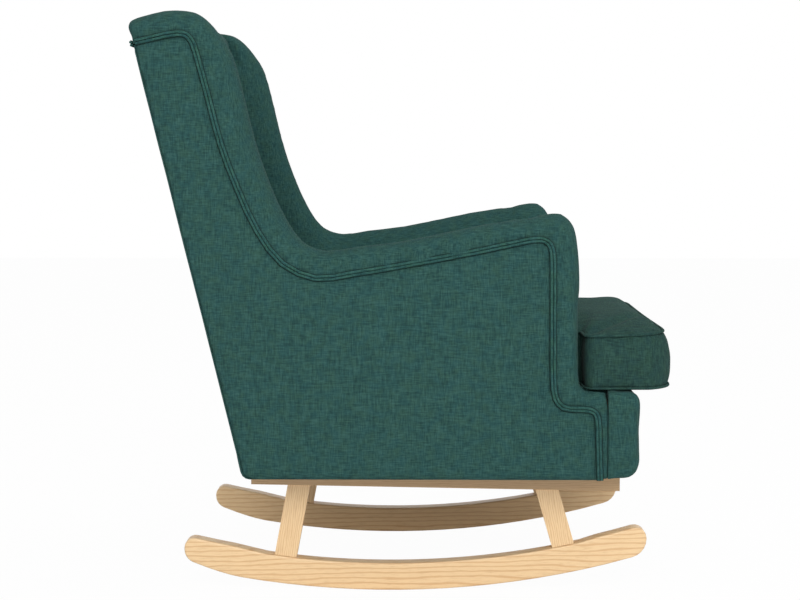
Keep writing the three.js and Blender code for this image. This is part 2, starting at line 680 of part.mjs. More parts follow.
function rockerOutline() {
  const turn = ROCKER_FACET / ROCKER_RADIUS;
  const centre = ROCKER_RADIUS * Math.cos(turn / 2);
  const at = (angle, depth) => new THREE.Vector2(
    ROCKER_LOWEST + (ROCKER_RADIUS - depth) * Math.sin(angle),
    centre - (ROCKER_RADIUS - depth) * Math.cos(angle));
  const end = (reach, depth) => at(Math.asin(reach / (ROCKER_RADIUS - depth)), depth);
  const rearTip = ROCKER_LOWEST - ROCKER_REAR_REACH;
  const frontTip = ROCKER_LOWEST + ROCKER_FRONT_REACH;
  const rise = (u) => ROCKER_REAR_RISE * THREE.MathUtils.clamp(
    1 - (u - rearTip) / ROCKER_REAR_RUN, 0, 1) ** REAR_RISE_POWER;
  const along = (angle) => at(angle, rise(at(angle, 0).x));
  const behind = rear_tip_shares.map(
    (share) => share * (rockerDepth(rearTip) - ROCKER_REAR_RISE));
  const ahead = front_tip_shares.map((share) => share * rockerDepth(frontTip));
  const clear = (points, edge) => points.filter((p) => p.x > rearTip + TIP_CLEAR_SHARE * behind[edge]
    && p.x < frontTip - TIP_CLEAR_SHARE * ahead[edge]).map((p) => [p.x, p.y]);
  const span = Math.ceil(Math.asin(ROCKER_FRONT_REACH / ROCKER_RADIUS) / turn);
  const lower = [];
  for (let k = -span - 0.5; k <= span; k += 1) {
    lower.push(along(k * turn));
    if (rise(along((k + 0.5) * turn).x) > 0) lower.push(along((k + 0.5) * turn));
  }
  const upper = [];
  for (let k = 0; k <= ROCKER_TOP_FACETS; k += 1) {
    const u = THREE.MathUtils.lerp(frontTip, rearTip, k / ROCKER_TOP_FACETS);
    upper.push(end(u - ROCKER_LOWEST, rockerDepth(u)));
  }
  const corner = (p, radius) => [p.x, p.y, radius];
  return rounded([...clear(lower, 0), corner(end(ROCKER_FRONT_REACH, 0), ahead[0]),
    corner(end(ROCKER_FRONT_REACH, rockerDepth(frontTip)), ahead[1]), ...clear(upper, 1),
    corner(end(-ROCKER_REAR_REACH, rockerDepth(rearTip)), behind[1]),
    corner(end(-ROCKER_REAR_REACH, ROCKER_REAR_RISE), behind[0])],
  ROCKER_TIP_STEPS);
}

// Height of an outline's upper edge at u.
function topOf(points, u) {
  const heights = points.flatMap((p, i) => {
    const q = points[(i + 1) % points.length];
    const crosses = (p.x - u) * (q.x - u) <= 0 && p.x !== q.x;
    return crosses ? [THREE.MathUtils.mapLinear(u, p.x, q.x, p.y, q.y)] : [];
  });
  return Math.max(...heights);
}

const ROCKER = rockerOutline();
const baseRailBottom = (u) => UNDERSIDE - THREE.MathUtils.mapLinear(
  u, BASE_RAIL_REAR, BASE_RAIL_FRONT, BASE_RAIL_REAR_HEIGHT, BASE_RAIL_FRONT_HEIGHT);

// A leg stands between rocker and base rail, with a tenon that runs on into each.
const LEGS = {
  rear: { foot: REAR_LEG_FOOT, top: BASE_RAIL_REAR + REAR_LEG_TOP_INSET },
  front: { foot: FRONT_LEG_FOOT, top: BASE_RAIL_FRONT - FRONT_LEG_TOP_INSET },
};
const FOOT_CHORD_SHARE = 0.6;
const LEG_MIDDLE = ROCKER_OUTER_HALF_WIDTH - ROCKER_THICKNESS / 2;

function legLine({ foot, top }) {
  const low = new THREE.Vector2(foot, topOf(ROCKER, foot));
  const high = new THREE.Vector2(top, baseRailBottom(top));
  return { low, high, along: high.clone().sub(low).normalize() };
}

function legTenon(leg, end, clearance, side) {
  const { low, high, along } = legLine(leg);
  const sign = end === 'foot' ? -1 : 1;
  const shoulder = end === 'foot' ? low : high;
  const root = shoulder.clone().addScaledVector(along, -sign * LEG_WIDTH / 2);
  const tip = shoulder.clone().addScaledVector(along, sign * (TENON_LENGTH + clearance));
  const middle = side * LEG_MIDDLE;
  const half = TENON_THICKNESS / 2 + clearance;
  return slantedBar(root, tip, TENON_WIDTH + 2 * clearance, middle - half, middle + half);
}

function legGeometry(leg, side) {
  const { low, high, along } = legLine(leg);
  const middle = side * LEG_MIDDLE;
  const blank = slantedBar(low.clone().addScaledVector(along, -LEG_WIDTH),
    high.clone().addScaledVector(along, LEG_WIDTH), LEG_WIDTH,
    middle - LEG_THICKNESS / 2, middle + LEG_THICKNESS / 2);
  const wide = [middle - ROCKER_THICKNESS, middle + ROCKER_THICKNESS];
  const footEdge = [-1, 1].map((k) => {
    const u = low.x + k * FOOT_CHORD_SHARE * LEG_WIDTH;
    return new THREE.Vector2(u, topOf(ROCKER, u) + GAP);
  });
  const chord = footEdge[1].clone().sub(footEdge[0]).normalize();
  footEdge[0].addScaledVector(chord, -LEG_WIDTH);
  footEdge[1].addScaledVector(chord, LEG_WIDTH);
  const below = low.y - 2 * LEG_WIDTH;
  const underFoot = [...footEdge, new THREE.Vector2(footEdge[1].x, below),
    new THREE.Vector2(footEdge[0].x, below)];
  const aboveTop = [BASE_RAIL_REAR, BASE_RAIL_FRONT].map(
    (u) => new THREE.Vector2(u, baseRailBottom(u) - GAP));
  const roof = high.y + 2 * LEG_WIDTH;
  aboveTop.push(new THREE.Vector2(BASE_RAIL_FRONT, roof), new THREE.Vector2(BASE_RAIL_REAR, roof));
  const trimmed = cut(blank, [plate(underFoot, ...wide), plate(aboveTop, ...wide)]);
  return join(trimmed, ['foot', 'top'].map((end) => legTenon(leg, end, 0, side)));
}

function rockerGeometry(side) {
  const inner = ROCKER_OUTER_HALF_WIDTH - ROCKER_THICKNESS;
  const blank = sidePlate(side, ROCKER, inner, ROCKER_OUTER_HALF_WIDTH, WOOD_EDGE, 2);
  return cut(blank, Object.values(LEGS).map((leg) => legTenon(leg, 'foot', GAP, side)));
}

// Bolts run up through the base rails into the front rail and the slat of the seat frame.
const SLAT_PLACE = BACK_FOOT + SLAT_INSET;
const BOLT_PLACES = {
  front: (SEAT_FRONT_RAIL_FRONT + SEAT_FRONT_RAIL_REAR) / 2,
  rear: SLAT_PLACE,
};
const BOLT_TIP = FRAME_BOTTOM + BOLT_GRIP;
const BOLT_SEAT = UNDERSIDE - BOLT_LAND;

const boltHole = (u, side, clearance) => pin(
  side * LEG_MIDDLE, -u, BOLT_SEAT - clearance, BOLT_TIP + clearance, BOLT_SHANK + 2 * clearance);

function boltGeometry(u, side) {
  const head = pin(side * LEG_MIDDLE, -u, BOLT_SEAT - GAP - BOLT_HEAD_HEIGHT, BOLT_SEAT - GAP,
    BOLT_HEAD);
  const shank = pin(side * LEG_MIDDLE, -u, BOLT_SEAT - GAP - BOLT_HEAD_HEIGHT / 2, BOLT_TIP,
    BOLT_SHANK);
  return join(head, [shank]);
}

function baseRailGeometry(side) {
  const outline = [
    new THREE.Vector2(BASE_RAIL_REAR, baseRailBottom(BASE_RAIL_REAR)),
    new THREE.Vector2(BASE_RAIL_FRONT, baseRailBottom(BASE_RAIL_FRONT)),
    new THREE.Vector2(BASE_RAIL_FRONT, UNDERSIDE), new THREE.Vector2(BASE_RAIL_REAR, UNDERSIDE)];
  const inner = ROCKER_OUTER_HALF_WIDTH - ROCKER_THICKNESS;
  const blank = sidePlate(side, outline, inner, ROCKER_OUTER_HALF_WIDTH, WOOD_EDGE / 3, 1);
  const mortises = Object.values(LEGS).map((leg) => legTenon(leg, 'top', GAP, side));
  const holes = Object.values(BOLT_PLACES).flatMap((u) => [
    boltHole(u, side, GAP),
    pin(side * LEG_MIDDLE, -u, baseRailBottom(u) - OVERRUN, BOLT_SEAT, BOLT_HEAD + 4 * GAP)]);
  return cut(blank, [...mortises, ...holes]);
}

function baseCrossRails() {
  const half = ROCKER_OUTER_HALF_WIDTH - ROCKER_THICKNESS - GAP;
  const rail = (rear) => plate(rectangle(rear, baseRailBottom(rear), rear + CROSS_RAIL_THICKNESS,
    UNDERSIDE), -half, half, WOOD_EDGE / 3, 1);
  return {
    front: rail(BASE_RAIL_FRONT - CROSS_RAIL_THICKNESS - FRONT_CROSS_RAIL_INSET),
    rear: rail(BASE_RAIL_REAR + REAR_CROSS_RAIL_INSET),
  };
}

// Seat frame
const SEAT_REAR_RAIL_REAR = behindBack(FRAME_BOTTOM, POST_REAR) + GAP;
const SEAT_REAR_RAIL_FRONT = SEAT_REAR_RAIL_REAR + SEAT_RAIL_THICKNESS;
const railTop = (rear) => deckUnderside(rear) - SPRING_WIRE - 2 * GAP;
const SIDE_RAIL_TOP = deckUnderside(SEAT_REAR_RAIL_FRONT) - SIDE_RAIL_DROP;

function seatFrontRailGeometry() {
  const rail = plate(rectangle(SEAT_FRONT_RAIL_REAR, FRAME_BOTTOM,
    SEAT_FRONT_RAIL_FRONT, railTop(SEAT_FRONT_RAIL_REAR)),
  -SEAT_FRONT_HALF_WIDTH, SEAT_FRONT_HALF_WIDTH);
  return cut(rail, [-1, 1].map((side) => boltHole(BOLT_PLACES.front, side, GAP)));
}

function slatGeometry() {
  const half = STILE_INSIDE - 2 * GAP - SIDE_RAIL_THICKNESS;
  const slat = plate(rectangle(SLAT_PLACE - SLAT_WIDTH / 2, FRAME_BOTTOM,
    SLAT_PLACE + SLAT_WIDTH / 2, FRAME_BOTTOM + SLAT_THICKNESS), -half, half);
  return cut(slat, [-1, 1].map((side) => boltHole(BOLT_PLACES.rear, side, GAP)));
}

// Deck: T-shaped, its ears lie in front of the arms.
function deckGeometry() {
  const part = (rear, half) => plate([
    new THREE.Vector2(rear, deckUnderside(rear)),
    new THREE.Vector2(SEAM_REACH - GAP, deckUnderside(SEAM_REACH - GAP)),
    new THREE.Vector2(SEAM_REACH - GAP, deckTop(SEAM_REACH - GAP)),
    new THREE.Vector2(rear, deckTop(rear))], -half, half);
  return join(part(SEAT_REAR_RAIL_REAR, ARM_INSIDE - GAP),
    [part(ARM_REACH - ROLL_DEPTH / 2, SEAT_FRONT_HALF_WIDTH - DECK_EAR_MARGIN)]);
}

// Dust cover: a thin sheet over the whole underside, with holes for the bolts.
function dustCoverGeometry() {
  const part = (rear, front, half) => plate(
    rectangle(rear, BODY_BOTTOM, front, BODY_BOTTOM + DUST_COVER_THICKNESS), -half, half);
  const rear = BACK_TURN_END + GAP;
  const sheet = join(part(rear, SEAT_FRONT_RAIL_REAR - GAP, STILE_OUTSIDE),
    [part(rear, SEAT_FRONT_RAIL_FRONT, SEAT_FRONT_HALF_WIDTH)]);
  return cut(sheet, [-1, 1].flatMap((side) => Object.values(BOLT_PLACES).map(
    (u) => boltHole(u, side, 2 * GAP))));
}

// A wire of round section along points that lie in one plane, up being the plane's normal.
function wire(points, diameter, sides, up) {
  const rings = points.map((p, i) => {
    const before = points[Math.max(i - 1, 0)];
    const after = points[Math.min(i + 1, points.length - 1)];
    const across = after.clone().sub(before).cross(up).normalize();
    return Array.from({ length: sides }, (_, k) => {
      const angle = (2 * Math.PI * k) / sides;
      return p.clone().addScaledVector(across, (diameter / 2) * Math.cos(angle))
        .addScaledVector(up, (diameter / 2) * Math.sin(angle));
    });
  });
  return loft(rings);
}

// One zigzag spring: straight bars across the seat, joined by round turns at their ends.
function springGeometry(x) {
  const rear = SEAT_REAR_RAIL_REAR + SPRING_WIRE;
  const front = SEAT_FRONT_RAIL_FRONT - SPRING_WIRE;
  const bars = Math.round((front - rear) / SPRING_PITCH);
  const pitch = (front - rear) / bars;
  const turn = pitch / 2;
  const points = [];
  for (let i = 0; i <= bars; i += 1) {
    const side = i % 2 ? 1 : -1;
    const u = rear + i * pitch;
    if (i === 0) points.push([x - side * (SPRING_SWING - turn), u]);
    if (i === bars) points.push([x - side * (SPRING_SWING - turn), u], [x + side * SPRING_SWING, u]);
    else {
      [-1, -0.5, 0, 0.5].forEach((share) => {
        const angle = (Math.PI / 2) * share;
        points.push([x + side * (SPRING_SWING - turn + turn * Math.cos(angle)),
          u + turn + turn * Math.sin(angle)]);
      });
    }
  }
  const up = new THREE.Vector3(0, Math.sin(DECK_TILT), Math.cos(DECK_TILT));
  return wire(points.map(([px, u]) => new THREE.Vector3(
    px, -u, deckUnderside(u) - GAP - SPRING_WIRE / 2)), SPRING_WIRE, SPRING_SIDES, up);
}

// Loose seat cushion. Its plan is a T with rounded corners; side and front move its edges
// outwards. Rings of that plan at rising heights make the boxing, which leans back a little at the
// front, and rings that shrink towards the middle make the crown.
const LOWER_BACK_FACE = Math.max(...insideBackOutline().filter(
  (p) => p.y < DECK_FRONT_HEIGHT + CUSHION_BOXING).map((p) => p.x));
const CUSHION_REAR = LOWER_BACK_FACE + CUSHION_GAP + CUSHION_SIDE_BULGE + CUSHION_WELT;
const LONG_EDGE_STEPS = 6;
const CUSHION_CORNER_STEPS = 4;

function cushionPlan(side, front) {
  const w = CUSHION_HALF_WIDTH + side;
  const ear = CUSHION_EAR_HALF_WIDTH + side;
  const rear = CUSHION_REAR - side;
  const earBack = CUSHION_EAR_BACK - side;
  const reach = CUSHION_REACH + front;
  const edge = (a, b) => Array.from({ length: LONG_EDGE_STEPS - 1 }, (_, k) => {
    const share = (k + 1) / LONG_EDGE_STEPS;
    const inward = CUSHION_DRAW_IN * Math.sin(Math.PI * share);
    const along = new THREE.Vector2(b[0] - a[0], b[1] - a[1]);
    const normal = new THREE.Vector2(-along.y, along.x).normalize();
    return [a[0] + along.x * share + normal.x * inward, a[1] + along.y * share + normal.y * inward];
  });
  const rightRear = [w, rear];
  const leftRear = [-w, rear];
  const rightInner = [w, earBack];
  const leftInner = [-w, earBack];
  const rightFront = [ear, reach];
  const leftFront = [-ear, reach];
  const grown = (radius) => radius + Math.max(side, front);
  return rounded([
    [...rightRear, grown(CUSHION_REAR_CORNER)], ...edge(rightRear, rightInner),
    [...rightInner, CUSHION_INNER_CORNER], [ear, earBack, grown(CUSHION_EAR_CORNER)],
    [...rightFront, grown(CUSHION_CORNER)], ...edge(rightFront, leftFront),
    [...leftFront, grown(CUSHION_CORNER)], [-ear, earBack, grown(CUSHION_EAR_CORNER)],
    [...leftInner, CUSHION_INNER_CORNER], ...edge(leftInner, leftRear),
    [...leftRear, grown(CUSHION_REAR_CORNER)], ...edge(leftRear, rightRear),
  ], CUSHION_CORNER_STEPS);
}

// The plan ring drawn in by a share towards the middle of the cushion.
const spine_shares = { rear: 0.24, ear: 0.25, front: 0.56, width: 0.65 };

function drawnIn(plan, share) {
  const rearTarget = THREE.MathUtils.lerp(CUSHION_REAR, CUSHION_REACH, spine_shares.rear);
  const earTarget = THREE.MathUtils.lerp(CUSHION_EAR_BACK, CUSHION_REACH, spine_shares.ear);
  const frontTarget = THREE.MathUtils.lerp(CUSHION_EAR_BACK, CUSHION_REACH, spine_shares.front);
  return plan.map((p) => {
    const target = p.y < CUSHION_EAR_BACK
      ? THREE.MathUtils.mapLinear(p.y, CUSHION_REAR, CUSHION_EAR_BACK, rearTarget, earTarget)
      : THREE.MathUtils.mapLinear(p.y, CUSHION_EAR_BACK, CUSHION_REACH, earTarget, frontTarget);
    return new THREE.Vector2(
      p.x * (1 - spine_shares.width * share), THREE.MathUtils.lerp(p.y, target, share));
  });
}

const boxing_shares = [[0, 0], [0.18, 0.72], [0.5, 1], [0.82, 0.72], [1, 0]];
const crown_shares = [0.1, 0.24, 0.45, 0.72, 1];
const CROWN_POWER = 2.4;

function cushionGeometry() {
  const seam = cushionPlan(0, -CUSHION_TOP_SETBACK);
  const onDeck = (plan, height) => plan.map(
    (p) => new THREE.Vector3(p.x, -p.y, deckTop(p.y) + GAP + height));
  const sideHeight = CUSHION_BOXING - CUSHION_SEAM_LIFT;
  const inset = cushionPlan(-CUSHION_FLAT_BORDER / 2, -CUSHION_FLAT_BORDER);
  const rings = [onDeck(inset, 0)];
  boxing_shares.forEach(([height, bulge]) => {
    const plan = cushionPlan(bulge * CUSHION_SIDE_BULGE,
      bulge * CUSHION_FRONT_BULGE - height * CUSHION_TOP_SETBACK);
    rings.push(onDeck(plan, CUSHION_SEAM_LIFT + height * sideHeight));
  });
  crown_shares.forEach((share) => {
    const rise = CUSHION_CROWN * (1 - (1 - share) ** CROWN_POWER);
    rings.push(onDeck(drawnIn(seam, share), CUSHION_BOXING + rise));
  });
  return loft(rings);
}

// A welt round the cushion at a seam.
function cushionWeltGeometry(height, setback) {
  const reach = CUSHION_WELT / 2 + CUSHION_WELT_GAP;
  const plan = cushionPlan(reach, reach - setback);
  const rings = plan.map((p, i) => {
    const before = plan[(i + plan.length - 1) % plan.length];
    const after = plan[(i + 1) % plan.length];
    const along = after.clone().sub(before).normalize();
    const centre = new THREE.Vector3(p.x, -p.y, deckTop(p.y) + GAP + height);
    const out = new THREE.Vector3(along.y, along.x, 0);
    return Array.from({ length: CUSHION_WELT_SIDES }, (_, k) => {
      const angle = (2 * Math.PI * k) / CUSHION_WELT_SIDES;
      return centre.clone().addScaledVector(out, (CUSHION_WELT / 2) * Math.cos(angle))
        .add(new THREE.Vector3(0, 0, (CUSHION_WELT / 2) * Math.sin(angle)));
    });
  });
  return loft(rings, { ring: true });
}

// Assembly
const chair = new THREE.Group();

function add(name, geometry, finish) {
  const mesh = new THREE.Mesh(geometry, finish);
  mesh.name = name;
  chair.add(mesh);
}

const rollRight = rollGeometry();
const weltRight = sideWeltGeometry();
const sides = { right: -1, left: 1 };

Object.entries(sides).forEach(([hand, side]) => {
  const stile = [STILE_INSIDE, STILE_OUTSIDE];
  add(`rocker_${hand}`, rockerGeometry(side), lightWood);
  Object.entries(LEGS).forEach(([end, leg]) => {
    add(`leg_${end}_${hand}`, legGeometry(leg, side), lightWood);
  });
  add(`base_rail_${hand}`, baseRailGeometry(side), lightWood);
  Object.entries(BOLT_PLACES).forEach(([end, u]) => {
    add(`base_bolt_${end}_${hand}`, boltGeometry(u, side), boltSteel);
  });
  add(`back_post_${hand}`, sidePlate(side, rounded([
    [behindBack(FRAME_BOTTOM, POST_REAR), FRAME_BOTTOM, BACK_CORNER - POST_REAR],
    [behindBack(FRAME_BOTTOM, POST_FRONT), FRAME_BOTTOM],
    [behindBack(BACK_TOP, POST_FRONT), BACK_TOP],
    [behindBack(BACK_TOP, POST_REAR), BACK_TOP]]), ...stile), softwood);
  const bottomTop = FRAME_BOTTOM + BOTTOM_RAIL_HEIGHT;
  add(`side_bottom_rail_${hand}`, sidePlate(side, [
    new THREE.Vector2(behindBack(FRAME_BOTTOM, POST_FRONT) + GAP, FRAME_BOTTOM),
    new THREE.Vector2(bottomRailFront, FRAME_BOTTOM),
    new THREE.Vector2(bottomRailFront, bottomTop),
    new THREE.Vector2(behindBack(bottomTop, POST_FRONT) + GAP, bottomTop)], ...stile), softwood);
  add(`front_post_${hand}`, sidePlate(side, frontPostOutline(), ...stile), softwood);
  add(`arm_rail_${hand}`, sidePlate(side, armRailOutline(), ...stile), softwood);
  add(`wing_board_${hand}`, sidePlate(side, wingBoardOutline(),
    STILE_OUTSIDE - WING_BOARD_THICKNESS, STILE_OUTSIDE), plywood);
  const railOuter = STILE_INSIDE - GAP;
  add(`seat_side_rail_${hand}`, sidePlate(side, rectangle(SEAT_REAR_RAIL_FRONT + GAP, FRAME_BOTTOM,
    SEAT_FRONT_RAIL_REAR - GAP, SIDE_RAIL_TOP),
  railOuter - SIDE_RAIL_THICKNESS, railOuter), softwood);
  add(`inside_arm_pad_${hand}`, sidePlate(side, insideArmOutline(), ARM_INSIDE, railOuter), fabric);
  add(`arm_wing_roll_${hand}`, side < 0 ? rollRight : mirrored(rollRight), fabric);
  add(`outside_panel_${hand}`, sidePlate(side, sidePanelOutline(), PANEL_INSIDE, OUTSIDE), fabric);
  add(`side_double_welt_${hand}`, side < 0 ? weltRight : mirrored(weltRight), weltFabric);
});

const { front: baseFront, rear: baseRear } = baseCrossRails();
add('base_cross_rail_front', baseFront, lightWood);
add('base_cross_rail_rear', baseRear, lightWood);

const betweenPosts = STILE_INSIDE - GAP;
add('seat_front_rail', seatFrontRailGeometry(), softwood);
const rearRailTop = railTop(SEAT_REAR_RAIL_REAR);
add('seat_rear_rail', plate(rounded([
  [SEAT_REAR_RAIL_REAR, FRAME_BOTTOM, BACK_CORNER - POST_REAR], [SEAT_REAR_RAIL_FRONT, FRAME_BOTTOM],
  [SEAT_REAR_RAIL_FRONT, rearRailTop], [SEAT_REAR_RAIL_REAR, rearRailTop]]),
-betweenPosts, betweenPosts), softwood);
add('seat_cross_slat', slatGeometry(), softwood);
for (let i = 0; i < SPRING_COUNT; i += 1) {
  const reach = ARM_INSIDE - SPRING_MARGIN;
  const x = THREE.MathUtils.lerp(-reach, reach, (i + 0.5) / SPRING_COUNT);
  add(`seat_spring_${i + 1}`, springGeometry(x), springSteel);
}
add('seat_deck', deckGeometry(), lining);
add('dust_cover', dustCoverGeometry(), lining);

const board = apronBoardBox();
add('apron_board', plate(rectangle(board.rear, FRAME_BOTTOM, board.front, board.top),
  -board.half, board.half), plywood);
add('front_apron_pad', apronGeometry(), fabric);

const MIDDLE_RAIL_SHARE = 0.33;
const backRail = (z) => plate(
  backBoard(z, z + BACK_RAIL_HEIGHT, POST_FRONT - BACK_RAIL_THICKNESS, POST_FRONT),
  -betweenPosts, betweenPosts);
const topRailFoot = BACK_TOP - BACK_RAIL_HEIGHT;
const backFoot = deckTop(SEAT_REAR_RAIL_REAR);
const middleRailFoot = THREE.MathUtils.lerp(backFoot, topRailFoot, MIDDLE_RAIL_SHARE);
add('back_top_rail', backRail(topRailFoot), softwood);
add('back_middle_rail', backRail(middleRailFoot), softwood);
const middleRailTop = middleRailFoot + BACK_RAIL_HEIGHT;
const strapPlaces = {
  low: (backFoot + middleRailFoot) / 2,
  middle: THREE.MathUtils.lerp(middleRailTop, topRailFoot, 1 / 3),
  high: THREE.MathUtils.lerp(middleRailTop, topRailFoot, 2 / 3),
};
const strapHalf = STILE_OUTSIDE - WING_BOARD_THICKNESS - 2 * GAP;
Object.entries(strapPlaces).forEach(([place, z]) => {
  add(`back_strap_${place}`, plate(backBoard(z - STRAP_WIDTH / 2, z + STRAP_WIDTH / 2,
    POST_FRONT + GAP, STRAP_FRONT), -strapHalf, strapHalf), webbing);
});
add('inside_back_pad', plate(insideBackOutline(), GAP - ARM_INSIDE, ARM_INSIDE - GAP), fabric);
add('outside_back_panel', plate(outsideBackOutline(), -OUTSIDE, OUTSIDE), fabric);
add('back_double_welt', backWeltGeometry(), weltFabric);

add('seat_cushion', cushionGeometry(), fabric);
add('cushion_welt_bottom', cushionWeltGeometry(CUSHION_SEAM_LIFT, 0), weltFabric);
add('cushion_welt_top', cushionWeltGeometry(CUSHION_BOXING, CUSHION_TOP_SETBACK), weltFabric);

// The origin lies on the floor under the middle of the chair.
const box = new THREE.Box3().setFromObject(chair);
chair.position.y = -(box.min.y + box.max.y) / 2;
chair.updateMatrixWorld(true);

export default chair;
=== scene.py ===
# %% [markdown]
# # A wingback rocking chair, dressed in cloth and oiled wood
# The solids of the chair were drawn in CAD and packed. Here they get padding, cloth, welts, timber
# grain and light. Everything is in metres, +Z is up and the sitter looks towards -Y.
# The solids could be rebuilt by hand in Blender, but loading them keeps every piece exactly where
# the real frame carries it, so this file only replaces what the eye and the hand would meet.

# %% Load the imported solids
import math

import bmesh
import bpy
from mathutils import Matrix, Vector, noise
from mathutils.kdtree import KDTree


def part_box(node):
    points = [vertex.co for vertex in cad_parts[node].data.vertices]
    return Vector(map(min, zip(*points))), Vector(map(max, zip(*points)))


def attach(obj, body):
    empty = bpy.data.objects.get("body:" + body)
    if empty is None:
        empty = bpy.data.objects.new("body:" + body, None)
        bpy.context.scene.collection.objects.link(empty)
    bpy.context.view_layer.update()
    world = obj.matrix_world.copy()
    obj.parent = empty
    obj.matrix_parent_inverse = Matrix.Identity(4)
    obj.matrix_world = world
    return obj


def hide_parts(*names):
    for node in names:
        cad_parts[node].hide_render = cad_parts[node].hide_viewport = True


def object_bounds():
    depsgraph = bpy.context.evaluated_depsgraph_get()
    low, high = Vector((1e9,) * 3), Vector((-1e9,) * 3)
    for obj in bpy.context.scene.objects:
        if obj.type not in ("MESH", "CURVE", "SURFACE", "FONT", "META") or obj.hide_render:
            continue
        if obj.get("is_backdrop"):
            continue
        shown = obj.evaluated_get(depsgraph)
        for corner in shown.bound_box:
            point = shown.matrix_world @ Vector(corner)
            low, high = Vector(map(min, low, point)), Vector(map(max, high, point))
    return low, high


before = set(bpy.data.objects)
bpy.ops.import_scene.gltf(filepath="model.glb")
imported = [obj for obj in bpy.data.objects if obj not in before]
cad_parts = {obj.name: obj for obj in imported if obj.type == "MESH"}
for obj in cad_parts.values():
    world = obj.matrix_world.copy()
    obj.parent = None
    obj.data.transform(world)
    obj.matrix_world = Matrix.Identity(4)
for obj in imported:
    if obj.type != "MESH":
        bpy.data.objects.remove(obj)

X, Y, Z = 0, 1, 2
scene = bpy.context.scene
cad_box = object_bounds()
print(len(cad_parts), "solids, from", tuple(cad_box[0]), "to", tuple(cad_box[1]))

# %% [markdown]
# ## The camera
# The photograph was taken from the chair's right side with a long lens, a little above the arm and
# from about three metres. A lens could be guessed by eye, but here its length comes from how
# much nearer rocker and farther rocker differ in size, and the tilt from where they stand.

# %% Camera
PHOTO_WIDTH = 800
LENS_IN_PIXELS = 1666
CAMERA_PLACE = Vector((-3.1, -0.0263, 0.7623))
TILT_DOWN = math.radians(5.053)
TURN = math.radians(0.712)

camera_data = bpy.data.cameras.new("photo_camera")
camera_data.sensor_width = 36
camera_data.lens = camera_data.sensor_width * LENS_IN_PIXELS / PHOTO_WIDTH
camera = bpy.data.objects.new("photo_camera", camera_data)
camera.location = CAMERA_PLACE
look = Vector((math.cos(TILT_DOWN) * math.cos(TURN), math.cos(TILT_DOWN) * math.sin(TURN),
               -math.sin(TILT_DOWN)))
camera.rotation_euler = look.to_track_quat("-Z", "Y").to_euler()
scene.collection.objects.link(camera)
scene.camera = camera
print("lens", round(camera_data.lens, 1), "mm")

# %% [markdown]
# ## Colours and shader nodes
# Colours are written as the hex values that a colour picker shows on screen, and one function
# turns them into the linear light that Blender counts in. Another adds a shader node with its
# settings and its inputs, where an input may be a value or another node's output. The others
# use it for what many materials share: sums, blended colours, shading by place, and relief.

# %% Helpers for materials
def linear(code):
    """A hex colour such as #e3c393 as linear red, green, blue and alpha."""
    shares = [int(code[i:i + 2], 16) / 255 for i in (1, 3, 5)]
    light = [c / 12.92 if c <= 0.04045 else ((c + 0.055) / 1.055) ** 2.4 for c in shares]
    return (*light, 1.0)


def add(tree, kind, inputs=None, **settings):
    """Adds a node, sets it up, and fills or links its inputs by name or number."""
    node = tree.nodes.new(kind)
    for name, value in settings.items():
        setattr(node, name, value)
    for key, value in (inputs or {}).items():
        if isinstance(value, bpy.types.NodeSocket):
            tree.links.new(value, node.inputs[key])
        else:
            node.inputs[key].default_value = value
    return node


def combine(tree, operation, first, second):
    """Adds, subtracts, multiplies or divides two values, or takes the greater one."""
    return add(tree, "ShaderNodeMath", {0: first, 1: second}, operation=operation).outputs[0]


def blend(tree, share, first, second):
    """A colour between two others, each given as a hex code or as another node's output."""
    ends = [linear(end) if isinstance(end, str) else end for end in (first, second)]
    node = add(tree, "ShaderNodeMix", {0: share, 6: ends[0], 7: ends[1]}, data_type="RGBA")
    return node.outputs[2]


def stretch(tree, value, start, end, top=1.0):
    """From 0 where the value is at the start to the top where it is at the end."""
    return add(tree, "ShaderNodeMapRange", {"Value": value, "From Min": start, "From Max": end,
                                            "To Max": top}).outputs[0]


def drawn_out(tree, place, scales):
    """The place with each axis scaled by itself, which stretches a texture along the others."""
    return add(tree, "ShaderNodeMapping", {"Vector": place, "Scale": scales}).outputs[0]


def wave_scale(width):
    """The scale at which a wave of Blender's wave texture has this width in metres."""
    return math.pi / 10 / width


def emboss(tree, shader, height, strength, depth, **settings):
    """Lets a texture tilt the light on a surface, as if it were this deep in metres."""
    bump = add(tree, "ShaderNodeBump", {"Height": height, "Strength": strength,
                                        "Distance": depth}, **settings)
    tree.links.new(bump.outputs[0], shader.inputs["Normal"])


def paint(tree, shader, colour):
    tree.links.new(colour, shader.inputs["Base Color"])


def start_material(name, values):
    """A new material: its node tree, its Principled shader with these values, and the place."""
    material = bpy.data.materials.new(name)
    material.use_nodes = True
    tree = material.node_tree
    tree.nodes.clear()
    shader = add(tree, "ShaderNodeBsdfPrincipled", values)
    add(tree, "ShaderNodeOutputMaterial", {"Surface": shader.outputs[0]})
    place = add(tree, "ShaderNodeTexCoord").outputs["Object"]
    return material, tree, shader, place


# %% [markdown]
# ## Floor and light
# A white studio sweep with large soft lamps gives the even light of the photograph. The sweep
# could be lit until it is white, but that would also wash out the wood. So the camera sees most
# of the floor as plain white paper, and a part of it as lit paper, which keeps a soft shadow.

# %% Floor, world and lamps
FLOOR_REACH = 9.0
PAPER_SHARE = 0.97
PAPER_GRAIN = 900.0
AMBIENT = 0.44
LAMP_AIM = Vector((0, 0, 0.5))
LAMPS = {
    "key_softbox": ((-4.1, -0.2, 2.75), 2.6, 118),
    "top_softbox": ((0.2, -0.8, 3.6), 2.4, 19),
    "front_softbox": ((0.6, -4.2, 1.6), 2.0, 18),
}

